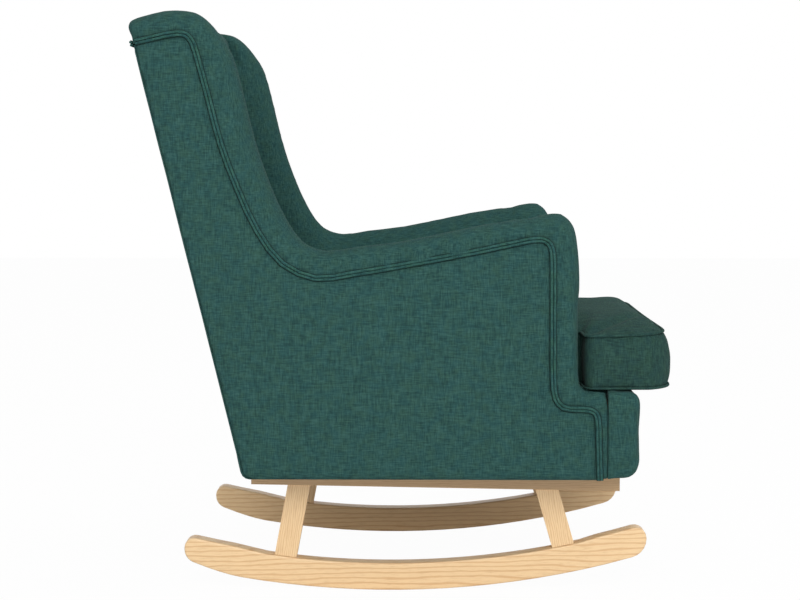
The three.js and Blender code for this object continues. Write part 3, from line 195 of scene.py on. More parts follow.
floor_mesh = bmesh.new()
bmesh.ops.create_grid(floor_mesh, x_segments=2, y_segments=2, size=FLOOR_REACH)
floor_data = bpy.data.meshes.new("studio_floor")
floor_mesh.to_mesh(floor_data)
floor_mesh.free()
floor = bpy.data.objects.new("studio_floor", floor_data)
scene.collection.objects.link(floor)

paper, tree, shader, _ = start_material("matt_white_paper", {"Roughness": 0.9})
rays = add(tree, "ShaderNodeLightPath").outputs
seen = combine(tree, "MULTIPLY", rays["Is Camera Ray"], PAPER_SHARE)
grain = add(tree, "ShaderNodeTexNoise", {"Scale": PAPER_GRAIN, "Detail": 2.0})
paint(tree, shader, blend(tree, grain.outputs["Fac"], "#fbfbfb", "#ffffff"))
glow = add(tree, "ShaderNodeEmission", {"Color": (1, 1, 1, 1), "Strength": 1.0})
both = add(tree, "ShaderNodeMixShader", {0: seen, 1: shader.outputs[0], 2: glow.outputs[0]})
output = next(n for n in tree.nodes if n.type == "OUTPUT_MATERIAL")
tree.links.new(both.outputs[0], output.inputs["Surface"])
floor_data.materials.append(paper)
floor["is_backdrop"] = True

world = bpy.data.worlds.new("white_studio")
scene.world = world
world.use_nodes = True
tree = world.node_tree
tree.nodes.clear()
rays = add(tree, "ShaderNodeLightPath").outputs
direct = combine(tree, "MAXIMUM", rays["Is Camera Ray"], rays["Is Glossy Ray"])
bright = combine(tree, "MAXIMUM", direct, rays["Is Transmission Ray"])
level = add(tree, "ShaderNodeMapRange", {"Value": bright, "To Min": AMBIENT, "To Max": 1.0})
sky = add(tree, "ShaderNodeBackground", {"Color": (1, 1, 1, 1), "Strength": level.outputs[0]})
add(tree, "ShaderNodeOutputWorld", {"Surface": sky.outputs[0]})

for name, (place, size, watts) in LAMPS.items():
    lamp_data = bpy.data.lights.new(name, "AREA")
    lamp_data.size = size
    lamp_data.energy = watts
    lamp = bpy.data.objects.new(name, lamp_data)
    lamp.location = place
    lamp.rotation_euler = (LAMP_AIM - lamp.location).to_track_quat("-Z", "Y").to_euler()
    scene.collection.objects.link(lamp)

scene.view_settings.view_transform = "Standard"
print(len(LAMPS), "lamps over a floor of", 2 * FLOOR_REACH, "m")

# %% [markdown]
# ## Upholstery cloth
# The cover is a plain-woven polyester with a linen look: slubby yarns in blue green, some of them
# olive, so that the cloth looks flecked. It could be painted from an image of cloth, but
# then it would stretch over the padding. Here three noises are drawn out along the three
# axes, one for the yarns along each, and a face shows the two that run across it.
# The real yarns are 0.6 mm apart, too fine for this picture, so they are drawn 2 mm wide.

# %% Woven cloth
YARN_WIDTH = 0.002
YARN_LENGTH = 0.016
YARN_RELIEF = 0.0008
FLECK_SIZE = 0.016
OLIVE_BAND = (0.36, 0.68)
SHADE_BAND = (0.5, 0.36)
GLEAM_BAND = (0.5, 0.68)


def woven_cloth(name, blue, olive, dark, light):
    """Slubby linen-look polyester: dull, soft and flecked, with a faint bloom at grazing angles."""
    material, tree, shader, place = start_material(name, {
        "Roughness": 0.95, "IOR": 1.5, "Sheen Weight": 0.02, "Sheen Roughness": 0.5,
        "Specular IOR Level": 0.05})
    facing = add(tree, "ShaderNodeTexCoord").outputs["Normal"]
    facing = add(tree, "ShaderNodeVectorMath", {0: facing}, operation="ABSOLUTE").outputs[0]
    facing = add(tree, "ShaderNodeSeparateXYZ", {0: facing}).outputs
    total = weights = None
    for axis in (X, Y, Z):
        frequency = [1 / YARN_WIDTH] * 3
        frequency[axis] = 1 / YARN_LENGTH
        yarn = add(tree, "ShaderNodeTexNoise", {"Vector": drawn_out(tree, place, frequency),
                                                "Scale": 1.0, "Detail": 2.0, "Roughness": 0.55})
        across = combine(tree, "SUBTRACT", 1.0, facing[axis])
        share = combine(tree, "MULTIPLY", yarn.outputs["Fac"], across)
        total = share if total is None else combine(tree, "ADD", total, share)
        weights = across if weights is None else combine(tree, "ADD", weights, across)
    weave = combine(tree, "DIVIDE", total, weights)
    fleck = add(tree, "ShaderNodeTexNoise", {"Vector": place, "Scale": 1 / FLECK_SIZE,
                                             "Detail": 2.0, "Roughness": 0.6})
    ground = blend(tree, stretch(tree, fleck.outputs["Fac"], *OLIVE_BAND), blue, olive)
    shaded = blend(tree, stretch(tree, weave, *SHADE_BAND), ground, dark)
    paint(tree, shader, blend(tree, stretch(tree, weave, *GLEAM_BAND), shaded, light))
    emboss(tree, shader, weave, strength=0.35, depth=YARN_RELIEF)
    return material


cover_cloth = woven_cloth("woven_linen_look_polyester", "#2c4f4e", "#325249", "#24403f",
                          "#3c605b")
cushion_cloth = woven_cloth("woven_linen_look_polyester_cushion", "#294543", "#2e4a40",
                            "#223836", "#38574f")
# Welt cords: the cover's cloth painted lighter, a painted highlight on the raised cords.
welt_cloth_painted_lighter = woven_cloth("bias_cut_welt_cloth", "#2f5555", "#32584d", "#234040", "#42685f")
print("cloth yarns drawn", YARN_WIDTH * 1000, "mm wide")

# %% [markdown]
# ## Light hardwood
# Rockers, legs and rails are sawn from pale ash-like boards and lacquered satin. The grain is
# what a saw shows of the trunk's growth rings: long wavy lines on a board cut through the side
# of the trunk, and nested arches where the cut runs nearly along the rings. A streaky noise
# would give only lines, so the rings themselves are drawn, round an axis that leans out
# of the board, and bent by a slow noise. Fine open pores run along the grain.

# %% Timber
BROAD_RINGS = 0.0085
NARROW_RINGS = 0.0032
PORE_WIDTH = 0.0011
PORE_LENGTH = 0.03
PORE_DEPTH = 0.0003
RING_SQUEEZE = 0.2
LATE_WOOD = (0.66, 1.0, 0.62)
OPEN_PORES = (0.5, 0.8, 0.55)
SATIN = 0.42
UNFINISHED = 0.7


def timber(name, pale, ring, pore, pith, lean, long_axis, spacing, rough=SATIN):
    """Sawn ash or pine with rings and pores: warm, and slightly glossy where it is lacquered."""
    material, tree, shader, place = start_material(name, {
        "Roughness": rough, "IOR": 1.5, "Coat Weight": 0.15, "Coat Roughness": 0.3})
    trunk = add(tree, "ShaderNodeMapping", {"Vector": place, "Location": pith,
                                            "Rotation": lean}).outputs[0]
    long_shape = [1.0, 1.0, 1.0]
    long_shape[long_axis] = RING_SQUEEZE
    rings = add(tree, "ShaderNodeTexWave", {
        "Vector": drawn_out(tree, trunk, long_shape), "Scale": wave_scale(spacing),
        "Distortion": 6.0, "Detail": 3.0, "Detail Scale": 0.9, "Detail Roughness": 0.5},
        wave_type="RINGS", rings_direction="XYZ"[long_axis])
    late_wood = stretch(tree, rings.outputs["Fac"], *LATE_WOOD)
    fine = [1 / PORE_WIDTH] * 3
    fine[long_axis] = 1 / PORE_LENGTH
    pores = add(tree, "ShaderNodeTexNoise", {"Vector": drawn_out(tree, trunk, fine),
                                             "Scale": 1.0, "Detail": 3.0, "Roughness": 0.65})
    open_pore = stretch(tree, pores.outputs["Fac"], *OPEN_PORES)
    paint(tree, shader, blend(tree, open_pore, blend(tree, late_wood, pale, ring), pore))
    emboss(tree, shader, open_pore, strength=0.15, depth=PORE_DEPTH, invert=True)
    return material


ASH = ("#f6d4a4", "#d8a772", "#c99b66")
# Darker ash for the side rails: painted shade for the shadow that the seat casts on them.
ASH_PAINTED_SHADE = ("#cdab80", "#b38a5e", "#a87f52")
PINE = ("#d9b98a", "#b98f5c", "#b08a5c")
PITHS = {"right": (0.262, 0, 0.02), "left": (-0.19, 0, 0.03)}
rocker_ash = {side: timber(f"ash_{side}_rocker_satin_lacquer", *ASH, pith,
                           (0.03, 0, math.radians(2.2)), Y, BROAD_RINGS)
              for side, pith in PITHS.items()}
# The side rails take the darker ash, painted shade under the overhang of the seat.
rail_ash_painted_shade = timber("ash_rail_satin_lacquer", *ASH_PAINTED_SHADE, (0.1, 0, 0.2), (0, 0, 0.01), Y,
                  NARROW_RINGS)
cross_ash = timber("ash_cross_rail_satin_lacquer", *ASH, (0, 0.1, 0.2), (0, 0.01, 0), X,
                   NARROW_RINGS)
LEG_LEANS = {"rear": math.radians(7.6), "front": math.radians(-9.6)}
leg_ash = {end: timber(f"ash_{end}_leg_satin_lacquer", *ASH, (0.1, 0.05, 0), (-angle, 0, 0), Z,
                       NARROW_RINGS) for end, angle in LEG_LEANS.items()}
frame_pine = {axis: timber(f"planed_pine_along_{'xyz'[axis]}", *PINE, (0.1, 0.08, 0.12),
                           (0, 0, 0.02), axis, BROAD_RINGS, UNFINISHED) for axis in (X, Y, Z)}
print("growth rings every", BROAD_RINGS * 1000, "mm, or", NARROW_RINGS * 1000, "mm in the legs")

# %% [markdown]
# ## Hidden materials
# Inside the chair are plywood, elastic webbing, a black spunbond lining, zigzag springs of drawn
# steel wire and zinc-plated bolts. They show only from below or with the cushion off.

# %% Plywood, webbing, lining and steel
PLY_THICKNESS = 0.002
VENEER_FIGURE = (14, 160, 160)
STRAP_RIB = 0.0022
KNIT_DEPTH = 0.0005
LINING_DOT = 0.0022
LINING_DEPTH = 0.0004
POLISH = 0.08
WEAR = 0.1

plywood, tree, shader, place = start_material("birch_plywood_unfinished", {"Roughness": 0.75,
                                                                           "IOR": 1.5})
figure = add(tree, "ShaderNodeTexNoise", {"Vector": drawn_out(tree, place, VENEER_FIGURE),
                                          "Scale": 1.0, "Detail": 4.0})
plies = add(tree, "ShaderNodeTexWave", {"Vector": place, "Scale": wave_scale(2 * PLY_THICKNESS),
                                        "Distortion": 0.3}, bands_direction="Y")
veneer = blend(tree, figure.outputs["Fac"], "#d2b483", "#a98555")
paint(tree, shader, blend(tree, plies.outputs["Fac"], veneer, "#9c7a4c"))

webbing, tree, shader, place = start_material("woven_elastic_webbing", {
    "Roughness": 0.85, "IOR": 1.5, "Sheen Weight": 0.1})
ribs = [add(tree, "ShaderNodeTexWave", {"Vector": place, "Scale": wave_scale(STRAP_RIB),
                                        "Distortion": 0.4}, bands_direction=way).outputs["Fac"]
        for way in "ZX"]
knit = combine(tree, "MULTIPLY", *ribs)
paint(tree, shader, blend(tree, knit, "#2a2926", "#55524b"))
emboss(tree, shader, knit, strength=0.4, depth=KNIT_DEPTH)

lining, tree, shader, place = start_material("black_spunbond_lining", {"Roughness": 0.95,
                                                                       "IOR": 1.5})
dots = add(tree, "ShaderNodeTexVoronoi", {"Vector": place, "Scale": 1 / LINING_DOT,
                                          "Randomness": 0.15}).outputs["Distance"]
paint(tree, shader, blend(tree, dots, "#141414", "#2b2b2b"))
emboss(tree, shader, dots, strength=0.5, depth=LINING_DEPTH)


def metal(name, pale, dark, rough, mottle):
    """Bare or plated steel: its colour is its reflection, clouded by the plating or the draw."""
    material, tree, shader, place = start_material(name, {"Metallic": 1.0})
    cloud = add(tree, "ShaderNodeTexNoise", {"Vector": place, "Scale": 1 / mottle,
                                             "Detail": 3.0}).outputs["Fac"]
    paint(tree, shader, blend(tree, cloud, pale, dark))
    worn = add(tree, "ShaderNodeMapRange", {"Value": cloud, "To Min": rough - POLISH,
                                            "To Max": rough + WEAR})
    tree.links.new(worn.outputs[0], shader.inputs["Roughness"])
    return material


zinc = metal("bright_zinc_plated_steel", "#c6c8c9", "#a2a6aa", 0.32, 0.004)
spring_wire = metal("drawn_spring_steel", "#8d9092", "#6c6f72", 0.38, 0.002)
print("hidden materials:", plywood.name, webbing.name, lining.name, zinc.name, spring_wire.name)

# %% [markdown]
# ## Making pieces from the solids
# A piece often starts as a copy of a solid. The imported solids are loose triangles, so a copy is
# merged first. Then it gets its cloth or timber, rides on the body that carries it, and
# takes the solid's place.

# %% Helpers for pieces
SHARP = math.radians(35)
MERGE_REACH = 0.00002


def merged(*nodes):
    """A bmesh with the merged triangles of one or more solids."""
    bm = bmesh.new()
    for node in nodes:
        bm.from_mesh(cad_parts[node].data)
    bmesh.ops.remove_doubles(bm, verts=bm.verts, dist=MERGE_REACH)
    return bm


def make_object(name, bm):
    """A Blender object from a bmesh, at the origin, with smooth faces."""
    mesh = bpy.data.meshes.new(name)
    for face in bm.faces:
        face.smooth = True
    bm.to_mesh(mesh)
    bm.free()
    piece = bpy.data.objects.new(name, mesh)
    scene.collection.objects.link(piece)
    return piece


def dress(piece, material, nodes, body="chair"):
    """Gives a piece its finish and its body, and hides the solids that it stands for."""
    piece.data.materials.clear()
    piece.data.materials.append(material)
    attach(piece, body)
    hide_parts(*nodes)


def sliced(bm, axis, low, high, step):
    """Cuts a mesh into slices of about the given width along one axis."""
    count = max(1, round((high - low) / step))
    normal = [0, 0, 0]
    normal[axis] = 1
    for cut in range(1, count):
        place = [0, 0, 0]
        place[axis] = low + (high - low) * cut / count
        bmesh.ops.bisect_plane(bm, geom=bm.verts[:] + bm.edges[:] + bm.faces[:],
                               plane_co=place, plane_no=normal)


def subdivide(piece):
    """Rounds a piece by one level of subdivision."""
    finer = piece.modifiers.new("finer", "SUBSURF")
    finer.levels = finer.render_levels = 1


def take_shape(piece):
    """Applies a piece's modifiers to its mesh."""
    now = piece.evaluated_get(bpy.context.evaluated_depsgraph_get())
    mesh = bpy.data.meshes.new_from_object(now)
    piece.modifiers.clear()
    old = piece.data
    piece.data = mesh
    bpy.data.meshes.remove(old)
    mesh.name = piece.name


# %% [markdown]
# ## Rockers, legs and rails
# The real base is cut from boards, and its long edges are eased with a small round. The solids
# have these rounds already, so the copies only get soft shading: faces that meet at a low
# angle are shaded as one, and large faces keep their own direction.

# %% Wooden base
base_pieces = {
    "rocker_board_right": (rocker_ash["right"], ["rocker_right"]),
    "rocker_board_left": (rocker_ash["left"], ["rocker_left"]),
    "base_rail_board": (rail_ash_painted_shade, ["base_rail_right", "base_rail_left"]),
    "rear_leg_board": (leg_ash["rear"], ["leg_rear_right", "leg_rear_left"]),
    "front_leg_board": (leg_ash["front"], ["leg_front_right", "leg_front_left"]),
    "cross_rail_board": (cross_ash, ["base_cross_rail_front", "base_cross_rail_rear"]),
}
for name, (material, nodes) in base_pieces.items():
    for node in nodes:
        ending = "" if len(nodes) == 1 else "_" + node.split("_")[-1]
        piece = make_object(name + ending, merged(node))
        piece.data.set_sharp_from_angle(angle=SHARP)
        facing = piece.modifiers.new("facing", "WEIGHTED_NORMAL")
        facing.keep_sharp = True
        dress(piece, material, [node])
print("wooden base of", sum(len(n) for _, n in base_pieces.values()), "boards")

# %% [markdown]
# ## Finishes of the solids that stay
# Frame timber, bolts and the apron board have the right shape already. They only get their
# material, with the grain along each board.

# %% Materials on the solids that stay
pine_axes = {
    "back_post": Z, "front_post": Z, "wing_board": Z, "side_bottom_rail": Y, "arm_rail": Y,
    "seat_side_rail": Y, "seat_front_rail": X, "seat_rear_rail": X, "seat_cross_slat": X,
    "back_top_rail": X, "back_middle_rail": X,
}
for node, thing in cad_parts.items():
    for start, axis in pine_axes.items():
        if node.startswith(start):
            thing.data.materials[0] = frame_pine[axis]
    if node.startswith("base_bolt"):
        thing.data.materials[0] = zinc
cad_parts["apron_board"].data.materials[0] = plywood
print("frame timber along its grain, bolts in", zinc.name)

# %% [markdown]
# ## Springs and webbing
# Zigzag springs are one steel wire each, bent to and fro. The solid's wire has few sides, so the
# copy is rounded by subdivision. The back has webbing straps, stretched flat from post to post
# and cut into short lengths, so that their shading stays even.

# %% Springs and straps
SPRINGS = 4
STRAP_SLICES = 24

for number in range(1, SPRINGS + 1):
    node = f"seat_spring_{number}"
    spring = make_object(f"zigzag_spring_{number}", merged(node))
    subdivide(spring)
    dress(spring, spring_wire, [node])

for level in ("low", "middle", "high"):
    node = f"back_strap_{level}"
    bm = merged(node)
    low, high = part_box(node)
    sliced(bm, X, low.x, high.x, (high.x - low.x) / STRAP_SLICES)
    strap = make_object(f"webbing_strap_{level}", bm)
    strap.data.set_sharp_from_angle(angle=SHARP)
    dress(strap, webbing, [node])
print(SPRINGS, "springs and 3 straps")

# %% [markdown]
# ## Padding: how a cover swells
# A padded cover is a sewn case pushed out by its filling and held in at its seams. A bevelled
# box would look stiff, so the solid's form is remeshed into even quads, and a cloth simulation
# with pressure inside blows it up a little while the seams stay pinned. Where the simulation
# moves the cloth too far it is held back, as foam of a given thickness would.

# %% Helpers for padding
SIMULATED_FRAMES = 20
SMOOTHING_PAIR = (0.5, -0.52)
END_STRETCH = 1.25


def remesh(piece, voxel, smoothing):
    """Even quads all over. Each smoothing pass is undone by a little more than it shrinks."""
    grid = piece.modifiers.new("even_quads", "REMESH")
    grid.mode = "VOXEL"
    grid.voxel_size = voxel
    take_shape(piece)
    bm = bmesh.new()
    bm.from_mesh(piece.data)
    for factor in SMOOTHING_PAIR * smoothing:
        bmesh.ops.smooth_vert(bm, verts=bm.verts, factor=factor, use_axis_x=True,
                              use_axis_y=True, use_axis_z=True)
    for face in bm.faces:
        face.smooth = True
    bm.to_mesh(piece.data)
    bm.free()


def corners(node):
    """The places of a solid's corners."""
    return [v.co.copy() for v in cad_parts[node].data.vertices]


def near(points):
    """A finder for the distance from a place to the nearest of these points."""
    tree = KDTree(len(points))
    for i, point in enumerate(points):
        tree.insert(point, i)
    tree.balance()
    return tree.find


def swell(piece, pressure, held, most):
    """Blows a cover up by cloth simulation; held gives 0 to 1 at a place, most the cap there."""
    rest = [v.co.copy() for v in piece.data.vertices]
    seams = piece.vertex_groups.new(name="seams")
    for v in piece.data.vertices:
        share = held(v.co)
        if share > 0:
            seams.add([v.index], share, "REPLACE")
    cloth = piece.modifiers.new("cloth", "CLOTH").settings
    cloth.quality = 5
    cloth.mass = 0.3
    cloth.use_pressure = True
    cloth.uniform_pressure_force = pressure
    cloth.vertex_group_mass = seams.name
    cloth.effector_weights.gravity = 0
    for step in range(1, SIMULATED_FRAMES + 1):
        scene.frame_set(step)
    take_shape(piece)
    piece.vertex_groups.clear()
    scene.frame_set(1)
    furthest = 0
    for v, start in zip(piece.data.vertices, rest):
        move = v.co - start
        limit = most(start)
        if move.length > 1e-9:
            v.co = start + move * (limit * math.tanh(move.length / limit) / move.length)
        furthest = max(furthest, (v.co - start).length)
    print(piece.name, "swelled by up to", round(furthest * 1000, 1), "mm")


def ramp(value, start, end):
    """From 0 at the start to 1 at the end, softly."""
    share = min(1.0, max(0.0, (value - start) / (end - start)))
    return share * share * (3 - 2 * share)


def fill_out(piece, amount):
    """Moves each point outwards by the amount for its place, as more wadding would."""
    moves = [v.normal * amount(v.co) for v in piece.data.vertices]
    for v, move in zip(piece.data.vertices, moves):
        v.co += move


def reach_to(piece, chosen, start, end):
    """Stretches the chosen points along y until the outer fifth of them lies flat at the end."""
    points = [v for v in piece.data.vertices if chosen(v.co)]
    furthest = max(abs(v.co.y - start) for v in points)
    for v in points:
        v.co.y = start + (end - start) * min(1.0, END_STRETCH * abs(v.co.y - start) / furthest)
    print(piece.name, "reaches", round(end * 1000), "mm with", len(points), "points")


def square_edge(piece, share_at, faces):
    """Fills the rounding between two faces to an arris. A face is its axis, place and depth."""
    for v in piece.data.vertices:
        shares = [(v.co[axis] - place) / depth + 1 for axis, place, depth in faces]
        if min(shares) > 0:
            grow = 1 + (math.hypot(*shares) / max(shares) - 1) * share_at(v.co)
            for (axis, place, depth), share in zip(faces, shares):
                v.co[axis] = place + depth * (max(share, min(share * grow, 1)) - 1)


# %% [markdown]
# ## Arm and wing covers
# One padded roll runs from the top of the back down the edge of the wing, along the arm and down
# its front. Behind it the inside of the arm and wing is one soft pad. They are sewn into one
# cover, so the two solids are joined, and the cover swells between the welt line and the frame.
# The left cover is the right one seen in a mirror.

# %% Arm and wing covers
VOXEL = 0.006
ARM_SMOOTHING = 5
ARM_PRESSURE = 4
ARM_SWELL = 0.0065
PRESSED_SWELL = 0.0015
ARM_INSIDE = 0.245
CUSHION_TOP = 0.47
HELD_WIDTH = 0.016
BODY_FOOT = 0.23
CORNER_WADDING = 0.005
WADDING_REACH = (0.36, 0.44)
WADDING_HEIGHT = (0.95, 0.968)
CORNER_PUSH = 0.006
PUSH_REACH = (0.41, 0.45)
PUSH_HEIGHT = (0.957, 0.985)
ARM_WADDING = 0.003
ARM_FRONT = (-0.265, -0.285)
ARM_HEIGHT = (0.5, 0.54)
STEP_HEIGHT = (0.352, 0.364)
ROLL_BULGE = 0.0075
BULGE_WIDTH = (0.011, 0.036)
BULGE_HEIGHT = (0.36, 0.42)
WELT_TUCK = 0.0035
TUCK_WIDTH = 0.014
STEP_SEAM = -0.3419
STEP_START = -0.325
STEP_LIMIT = 0.35
STEP_TOP = 0.3615
STEP_ROUNDING = 0.02
SEAM_SIDE = 0.3293
SEAM_ROUNDING = 0.013

to_welt = near(corners("side_double_welt_right"))


def arm_held(place):
    """Held at the welt and wherever the cover lies against the frame or a neighbour."""
    under = 1.0 if place.z < BODY_FOOT else 0.0
    return max(1 - to_welt(place)[2] / HELD_WIDTH, under)


def arm_cap(place):
    """The loose cushion presses on the inside of the arm, so there it swells less."""
    pressed = abs(place.x) < ARM_INSIDE + VOXEL / 2 and place.z < CUSHION_TOP
    return PRESSED_SWELL if pressed else ARM_SWELL


arm_cover = make_object("arm_wing_cover_right", merged("arm_wing_roll_right",
                                                       "inside_arm_pad_right"))
remesh(arm_cover, VOXEL, ARM_SMOOTHING)
swell(arm_cover, ARM_PRESSURE, arm_held, arm_cap)


def corner_wadding(place):
    """The rear end of the top roll is stuffed hard, into a full corner."""
    return CORNER_WADDING * ramp(place.y, *WADDING_REACH) * ramp(place.z, *WADDING_HEIGHT)


def stuff_corner(piece):
    """Wads the top roll, and pushes its end back where the cloth is folded round it."""
    fill_out(piece, corner_wadding)
    for v in piece.data.vertices:
        v.co.y += CORNER_PUSH * ramp(v.co.y, *PUSH_REACH) * ramp(v.co.z, *PUSH_HEIGHT)


def arm_wadding(place):
    """The front of the arm is stuffed a little more above the seat."""
    return ARM_WADDING * ramp(place.y, *ARM_FRONT) * ramp(place.z, *ARM_HEIGHT)


def step_share(place):
    """1 at the step of the seat, fading where the roll turns up into the arm."""
    return 1 - ramp(place.z, *STEP_HEIGHT)


stuff_corner(arm_cover)
fill_out(arm_cover, arm_wadding)
reach_to(arm_cover, lambda place: place.z < STEP_LIMIT and place.y < STEP_START,
         STEP_START, STEP_SEAM)
step_end = (Y, STEP_SEAM, -SEAM_ROUNDING)
step_end_deep = (Y, STEP_SEAM, -STEP_ROUNDING)
square_edge(arm_cover, lambda place: 1, (step_end_deep, (Z, STEP_TOP, STEP_ROUNDING)))
square_edge(arm_cover, step_share, (step_end, (X, -SEAM_SIDE, -SEAM_ROUNDING)))
outward = [max(0.0, -v.normal.x) for v in arm_cover.data.vertices]
for v, share in zip(arm_cover.data.vertices, outward):
    distance = to_welt(v.co)[2]
    bulge = ROLL_BULGE * ramp(distance, *BULGE_WIDTH) * ramp(v.co.z, *BULGE_HEIGHT)
    tuck = max(0.0, 1 - distance / TUCK_WIDTH)
    v.co.x += WELT_TUCK * tuck * tuck - bulge * share
subdivide(arm_cover)


def mirrored(piece, name):
    """A mirror copy on the chair's left side."""
    bm = bmesh.new()
    bm.from_mesh(piece.data)
    bmesh.ops.scale(bm, vec=(-1, 1, 1), verts=bm.verts)
    bmesh.ops.reverse_faces(bm, faces=bm.faces)
    return make_object(name, bm)


other_cover = mirrored(arm_cover, "arm_wing_cover_left")
subdivide(other_cover)
for cover, side in ((arm_cover, "right"), (other_cover, "left")):
    dress(cover, cover_cloth, [f"arm_wing_roll_{side}",
                                               f"inside_arm_pad_{side}"])
print("arm covers of", len(arm_cover.data.polygons), "faces each")

# %% [markdown]
# ## Inside back
# The inside back is a firm foam pad that hollows towards the shoulders and swells at the small
# of the back, with a roll across its top. It meets both wings in a seam.

# %% Inside back
BACK_SWELL = 0.007


def back_held(place):
    return 1.0 if abs(place.x) > ARM_INSIDE - VOXEL else 0.0


inside_back = make_object("inside_back_cover", merged("inside_back_pad"))
remesh(inside_back, VOXEL, ARM_SMOOTHING)
swell(inside_back, ARM_PRESSURE, back_held, lambda place: BACK_SWELL)
stuff_corner(inside_back)
subdivide(inside_back)
dress(inside_back, cover_cloth, ["inside_back_pad"])
print("inside back of", len(inside_back.data.polygons), "faces")

# %% [markdown]
# ## Outside panels
# The sides and the back are cloth stretched over a thin board with wadding. The wadding lifts
# the cloth a few millimetres, and along the welt it is pulled down to the tacks. A copy of
# the solid is cut into a fine grid, and each point is lifted by how far it is from the edge.

# %% Outside panels
PANEL_GRID = 0.011
PANEL_LIFT = 0.003
LIFT_WIDTH = 0.03
PANEL_TUCK = 0.002
EDGE_WIDTH = 0.006
RIPPLE = 0.0005
RIPPLES_PER_METRE = 14
RIM_STEP = 0.004
FACE_DEPTH = 0.0004
FLAT = math.radians(1)
LEAN = math.radians(13.6)
BACK_FOOT = 0.232
FOOT_HEIGHT = 0.04


def wadded_panel(name, node, outward, axes, foot=None):
    """A panel lifted in the middle and tucked in at its edge, save where its foot turns under."""
    bm = merged(node)
    bmesh.ops.dissolve_limit(bm, angle_limit=FLAT, verts=bm.verts, edges=bm.edges)
    outward = Vector(outward)
    level = max(v.co.dot(outward) for v in bm.verts) - FACE_DEPTH
    rim = [v for v in bm.verts if v.co.dot(outward) > level]
    rim_points = []
    for edge in {e for v in rim for e in v.link_edges}:
        if all(v in rim for v in edge.verts):
            count = max(1, math.ceil(edge.calc_length() / RIM_STEP))
            rim_points += [edge.verts[0].co.lerp(edge.verts[1].co, k / count)
                           for k in range(count + 1)]
    to_rim = near(rim_points)
    low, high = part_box(node)
    for axis in axes:
        sliced(bm, axis, low[axis], high[axis], PANEL_GRID)
    for v in bm.verts:
        if v.co.dot(outward) > level:
            inside = to_rim(v.co)[2]
            ripple = RIPPLE * noise.noise(v.co * RIPPLES_PER_METRE)
            lift = PANEL_LIFT * (1 - math.exp(-inside / LIFT_WIDTH)) + ripple
            tuck = PANEL_TUCK * math.exp(-inside / EDGE_WIDTH)
            share = 1.0 if foot is None else ramp(v.co.z, foot, foot + FOOT_HEIGHT)
            v.co += outward * (lift - tuck) * share
    return make_object(name, bm)


for side, sign in (("right", -1), ("left", 1)):
    node = f"outside_panel_{side}"
    panel = wadded_panel(f"side_panel_cloth_{side}", node, (sign, 0, 0), (Y, Z))
    dress(panel, cover_cloth, [node])
panel = wadded_panel("back_panel_cloth", "outside_back_panel",
                     (0, math.cos(LEAN), -math.sin(LEAN)), (X, Z), BACK_FOOT)
dress(panel, cover_cloth, ["outside_back_panel"])
print("three outside panels, lifted", PANEL_LIFT * 1000, "mm")

# %% [markdown]
# ## Front apron and seat deck
# The apron is a padded board across the front under the cushion. The deck behind it is the
# padded platform on the springs that the cushion lies on. Its ears reach back under the arms,
# so that no frame shows between deck and arm when the cushion is off.

# %% Apron and deck
APRON_VOXEL = 0.005
APRON_SMOOTHING = 3
APRON_SWELL = 0.003
APRON_PRESSURE = 3
APRON_HELD = -0.352
APRON_START = -0.356
APRON_SEAM = STEP_SEAM + 0.0002
DECK_SMOOTHING = 2
DECK_FILL = 0.004
FILL_REACH = (-0.24, -0.29)
FILL_SIDE = (0.2, 0.23)
EAR_SIDE = 0.262
DECK_MIDDLE = -0.26
EAR_START = -0.283
EAR_REAR = -0.246
EAR_RISE = 0.009
RISE_REACH = (-0.28, -0.255)
RISE_SIDE = (0.256, 0.266)


def apron_held(place):
    return 1.0 if place.y > APRON_HELD else 0.0


def deck_wadding(place):
    """The front corners of the deck are stuffed up to the apron and the arms."""
    return DECK_FILL * ramp(place.y, *FILL_REACH) * ramp(abs(place.x), *FILL_SIDE)


apron = make_object("front_apron_cover", merged("front_apron_pad"))
remesh(apron, APRON_VOXEL, APRON_SMOOTHING)
swell(apron, APRON_PRESSURE, apron_held, lambda place: APRON_SWELL)
reach_to(apron, lambda place: place.y > APRON_START, APRON_START, APRON_SEAM)
apron_end = (Y, APRON_SEAM, SEAM_ROUNDING)
for sign in (-1, 1):
    square_edge(apron, step_share, (apron_end, (X, sign * SEAM_SIDE, sign * SEAM_ROUNDING)))
subdivide(apron)
dress(apron, cover_cloth, ["front_apron_pad"])

deck = make_object("seat_deck_cover", merged("seat_deck"))
remesh(deck, VOXEL, DECK_SMOOTHING)
fill_out(deck, deck_wadding)
reach_to(deck, lambda place: abs(place.x) > EAR_SIDE and EAR_START < place.y < DECK_MIDDLE,
         EAR_START, EAR_REAR)
for v in deck.data.vertices:
    v.co.z += EAR_RISE * ramp(v.co.y, *RISE_REACH) * ramp(abs(v.co.x), *RISE_SIDE)
subdivide(deck)
dress(deck, cover_cloth, ["seat_deck"])
print("apron and deck of", len(apron.data.polygons) + len(deck.data.polygons), "faces")

# %% [markdown]
# ## Seat cushion
# The loose cushion is T-shaped: its ears fill the width in front of the arms. Its case has a top
# and a bottom panel and a boxing strip between them, and is piped along both seams. The filling
# crowns the panels and pushes the boxing out, while the piped seams hold. Cloth that is gathered
# a little too tightly along the piping puckers, and where people sit down the crown has a dent.

